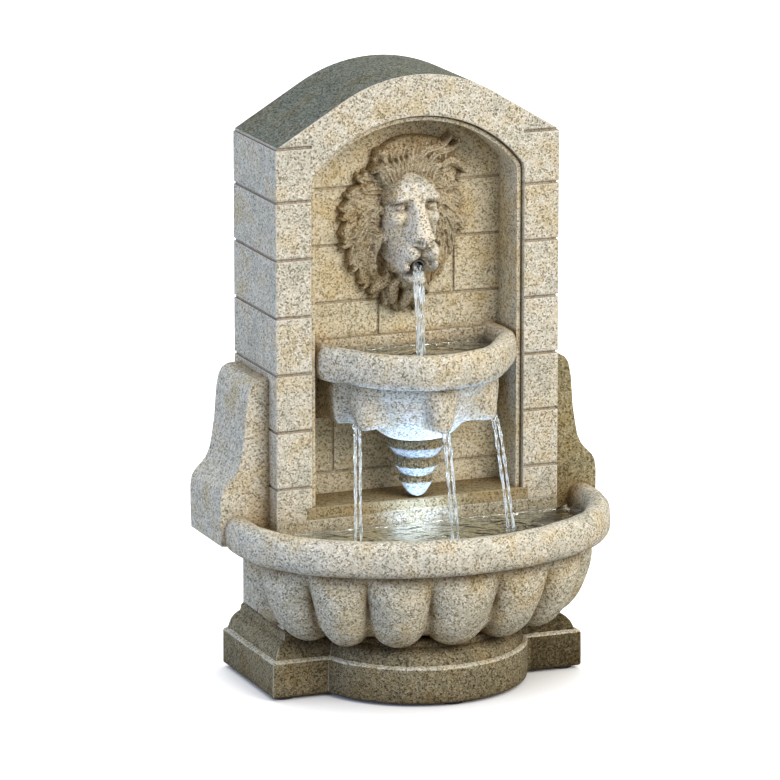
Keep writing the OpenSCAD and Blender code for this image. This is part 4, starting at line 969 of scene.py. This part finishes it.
# %% Water material
def water_material(name, froth=0.0):
    material, tree, skin = blank(name)
    place = place_of(tree)
    wire(tree, skin, {"Normal": bump(tree, noise(tree, place, 7), 0.5, 1.5), "Base Color": hexa("#f3f8f7"),
        "Roughness": 0.03, "IOR": 1.333, "Transmission Weight": 1.0})
    if froth:
        streak = add(tree, "Mapping", {"Vector": place, "Scale": (1.0, 1.0, 0.12)}).outputs[0]
        white = times(tree, ramp(tree, noise(tree, streak, 1.1), (0.45, BLACK), (0.62, WHITE)), froth)
        tree.links.new(maths(tree, "SUBTRACT", 1.0, white, True), skin.inputs["Transmission Weight"])
    clear = add(tree, "BsdfTransparent", {"Color": hexa("#f2f7f7")}).outputs[0]
    is_shadow = add(tree, "LightPath").outputs["Is Shadow Ray"]
    surface = add(tree, "MixShader", {0: is_shadow, 1: skin.outputs[0], 2: clear}).outputs[0]
    tree.links.new(surface, tree.nodes["Material Output"].inputs["Surface"])
    return material


falling = water_material("Falling water", 0.65)
still, held_water = water_material("Pool water lit"), water_material("Basin water")
print("water:", falling.name, still.name, held_water.name)

# %% Falling water
def thread(name, path, wide, flat, twist, seed):
    """A ribbon of water along a path: wide gives its half width from start to end."""
    path = np.array(path, float)
    t = np.linspace(0, 1, 140)
    stops = np.linspace(0, 1, len(path))
    spine = soften(np.stack([np.interp(t, stops, path[:, k]) for k in range(3)], 1), 30)
    way = np.gradient(spine, axis=0)
    way /= np.linalg.norm(way, axis=1, keepdims=True)
    side = np.cross(way, [0.0, 1.0, 0.15])
    side /= np.linalg.norm(side, axis=1, keepdims=True)
    deep = np.cross(way, side)
    rng = np.random.RandomState(seed)
    turn = 2 * pi * twist * t + rng.uniform(0, 6)
    beat = 1 + 0.16 * np.sin(t * 31 + rng.uniform(0, 6)) + 0.08 * np.sin(t * 67 + rng.uniform(0, 6))
    width = np.interp(t, np.linspace(0, 1, len(wide)), wide) * beat
    rows = [spine + (side * np.cos(a) + deep * np.sin(a)) * (width * (1 - flat * np.cos(2 * (a - turn)) ** 2))[:, None]
        for a in np.linspace(0, 2 * pi, 25)[:-1]]
    finish(sheet_of_points(name, np.array(rows), wrap=True, caps=True), 70, falling, slot="water")


POOL_Z, BASIN_Z = 100.0, 205.6
FALLS = (((-46.2, -3.2, 166.0), (-51.5, -18, POOL_Z)), ((0.6, -31.0, 166.2), (5.8, -34, POOL_Z)),
    ((44.0, -5.0, 164.4), (47.6, -22, POOL_Z)))  # where each thread leaves its lip and where it lands
for k, s in enumerate(BOTH):
    path = [(0.8 * s, 20, 260.5), (1.5 * s, 11.8, 259.4), (1.9 * s - 0.4, 10.2, 248), (1.6 * s, 9.4, 226),
        (1.3 * s + 0.3, 9, BASIN_Z - 0.5)]
    thread(f"water_jet_{k}", path, (2.0, 1.8, 1.5, 1.6), 0.45, 1.4, 3 + k)
for k, fall in enumerate(FALLS):
    lip, land = np.array(fall, float)
    for n, (shift, start, end) in enumerate(((-1.7, 1.35, 0.95), (1.7, 1.3, 0.9))):
        off = np.array([shift, 0, 0])
        path = [lip + (0, 2.5, 2.5) + off * 0.8, lip + off * 0.8, lip + off * 0.9 + (land - lip) * (0.2, 0.2, 0.12),
            lip + (land - lip) * (0.4, 0.4, 0.33) + off, lip + (land - lip) * (0.72, 0.72, 0.66) + off * 0.9,
            land + off * 1.1]
        thread(f"water_thread_{k}_{n}", path, (start, end * 1.1, end, end * 1.1), 0.4, 2.2, 10 * k + n)
print(2 * len(FALLS) + 2, "threads of falling water")

# %% Pools
def pool(name, edge, level, landings, material, cells=150):
    """A sheet of water inside a closed edge line, with rings where threads land."""
    edge = np.array(edge, float)
    middle = edge.mean(0)
    grid = middle + (edge - middle)[None] * np.linspace(0.0, 1, cells)[:, None, None] ** 0.9
    x, y = grid[..., 0], grid[..., 1]
    z = level + waves(x, y, 0, 16, 21) * 0.25 + waves(x, y, 0, 6, 22) * 0.08
    for lx, ly, size in landings:
        far = np.hypot(x - lx, y - ly)
        z = z + size * np.cos(far * 2 * pi / 5.2) * np.exp(-far / 9) * np.clip(far / 1.5, 0, 1)
    low = np.dstack([x, y, np.full(x.shape, level - 1.2)])[::-1]
    finish(sheet_of_points(name, np.concatenate([np.dstack([x, y, z]), low])), 70, material, slot="water")


REAR_Y, UP_REAR_Y = WALL_Y - 0.4, NICHE_Y - 5.2
edge = [tuple(p) for p in line - 8.7 * normal if p[1] < REAR_Y]
edge = [(-edge[-1][0], REAR_Y)] + edge + [(edge[-1][0], REAR_Y)]
edge += [(x, REAR_Y) for x in np.linspace(edge[-1][0], edge[0][0], 60)[1:]]
landings = [(-51.5, -18, 0.5), (5.8, -34, 0.55), (48.5, -24, 0.5)]
pool("water_lower_bowl", edge, POOL_Z, landings, still)
edge = [tuple(p) for p in up_pts - 6.1 * up_out if p[1] < UP_REAR_Y]
edge += [(x, UP_REAR_Y) for x in np.linspace(edge[-1][0], edge[0][0], 50)[1:]] + edge[:1]
pool("water_upper_basin", edge, BASIN_Z, [(0.5, 9, 0.55)], held_water, 90)

# %% [markdown]
# The camera stands where the photographer stood: left of the front, a little above, and far away with a
# long lens, which the almost parallel edges in the photograph show. The light is a plain studio: a
# large soft key from the front right, a cooler fill from the left, and a floor that is white to the
# camera, so that the object stands alone, with a painted contact shadow where the floor is near the object.

# %% Camera
def aimed(name, data, place, aim):
    """A camera or a light at a place in metres, turned to look at a spot."""
    holder = link(bpy.data.objects.new(name, data))
    holder.location = place
    holder.rotation_euler = (Vector(aim) - Vector(place)).to_track_quat("-Z", "Y").to_euler()
    return holder


EYE, AIM = (-1.31965, -3.24144, 1.01160), (0.01043, 0.085, 0.16670)
shot = bpy.data.cameras.new("Camera")
shot.lens, shot.sensor_width = 271.6, 36.0
bpy.context.scene.camera = aimed("Camera", shot, EYE, AIM)
print("camera distance", round(dist(EYE, AIM), 3), "m")

# %% Floor
def show_to_viewer(tree, hidden, shown, output):
    """Shows one shader to rays that a viewer, a mirror or a clear piece sends out, and another to the
    rays that light the object."""
    ray = add(tree, "LightPath").outputs
    share = maths(tree, "MAXIMUM", ray["Is Camera Ray"], ray["Is Glossy Ray"])
    share = maths(tree, "MAXIMUM", share, ray["Is Transmission Ray"])
    pick = add(tree, "MixShader", {0: share, 1: hidden.outputs[0], 2: shown.outputs[0]})
    tree.links.new(pick.outputs[0], tree.nodes[output].inputs["Surface"])


floor_material, tree, skin = blank("Studio floor")
wire(tree, skin, {"Base Color": hexa("#f4f4f2"), "Roughness": 0.8})
# Painted contact shadow: the floor's white lift fades where the object stands within 90 mm.
strength = maths(tree, "POWER", openness(tree, 90, 8), 1.8)
lift_with_painted_contact_shadow = add(tree, "Emission", {"Color": hexa(WHITE), "Strength": strength})
lit = add(tree, "AddShader", {0: skin.outputs[0], 1: lift_with_painted_contact_shadow.outputs[0]})
show_to_viewer(tree, add(tree, "BsdfDiffuse", {"Color": hexa("#8c8b88")}), lit, "Material Output")
bpy.ops.mesh.primitive_grid_add(x_subdivisions=2, y_subdivisions=2, size=14)
ground = settle("floor")
ground.data.materials.append(floor_material)
print("floor", tuple(round(v, 1) for v in ground.dimensions))

# %% World and lights
bpy.context.scene.view_settings.view_transform = "Standard"
world = bpy.data.worlds.new("Studio")
world.use_nodes = True
bpy.context.scene.world = world
tree = world.node_tree
soft = tree.nodes["Background"]
wire(tree, soft, {"Color": hexa("#f2f4f7"), "Strength": 0.64})
show_to_viewer(tree, soft, add(tree, "Background", {"Color": hexa(WHITE), "Strength": 1.0}), "World Output")


def lamp(name, place, aim, size, power, colour):
    """A square area light, in watts, that points at a spot."""
    light = bpy.data.lights.new(name, "AREA")
    light.shape, light.size, light.energy = "SQUARE", size, power
    light.color = hexa(colour)[:3]
    return aimed(name, light, place, aim)


MIDDLE = (0, 0.05, 0.2)
lamp("Key", (0.8, -1.85, 1.4), MIDDLE, 1.3, 38, "#fff8f0")
lamp("Fill", (-1.8, -0.4, 0.5), MIDDLE, 1.0, 13, "#a2c4ff")
lamp("Back", (0.3, 1.7, 1.2), MIDDLE, 1.2, 4.5, "#fff8ee")
glow = lamp("Lamp glow", (0.0, -0.006, 0.0635), (0.0, 0.0, 0.2), 0.014, 0.09, "#aac6ff")
glow.data.spread = radians(76)
glow.visible_transmission = glow.visible_glossy = False
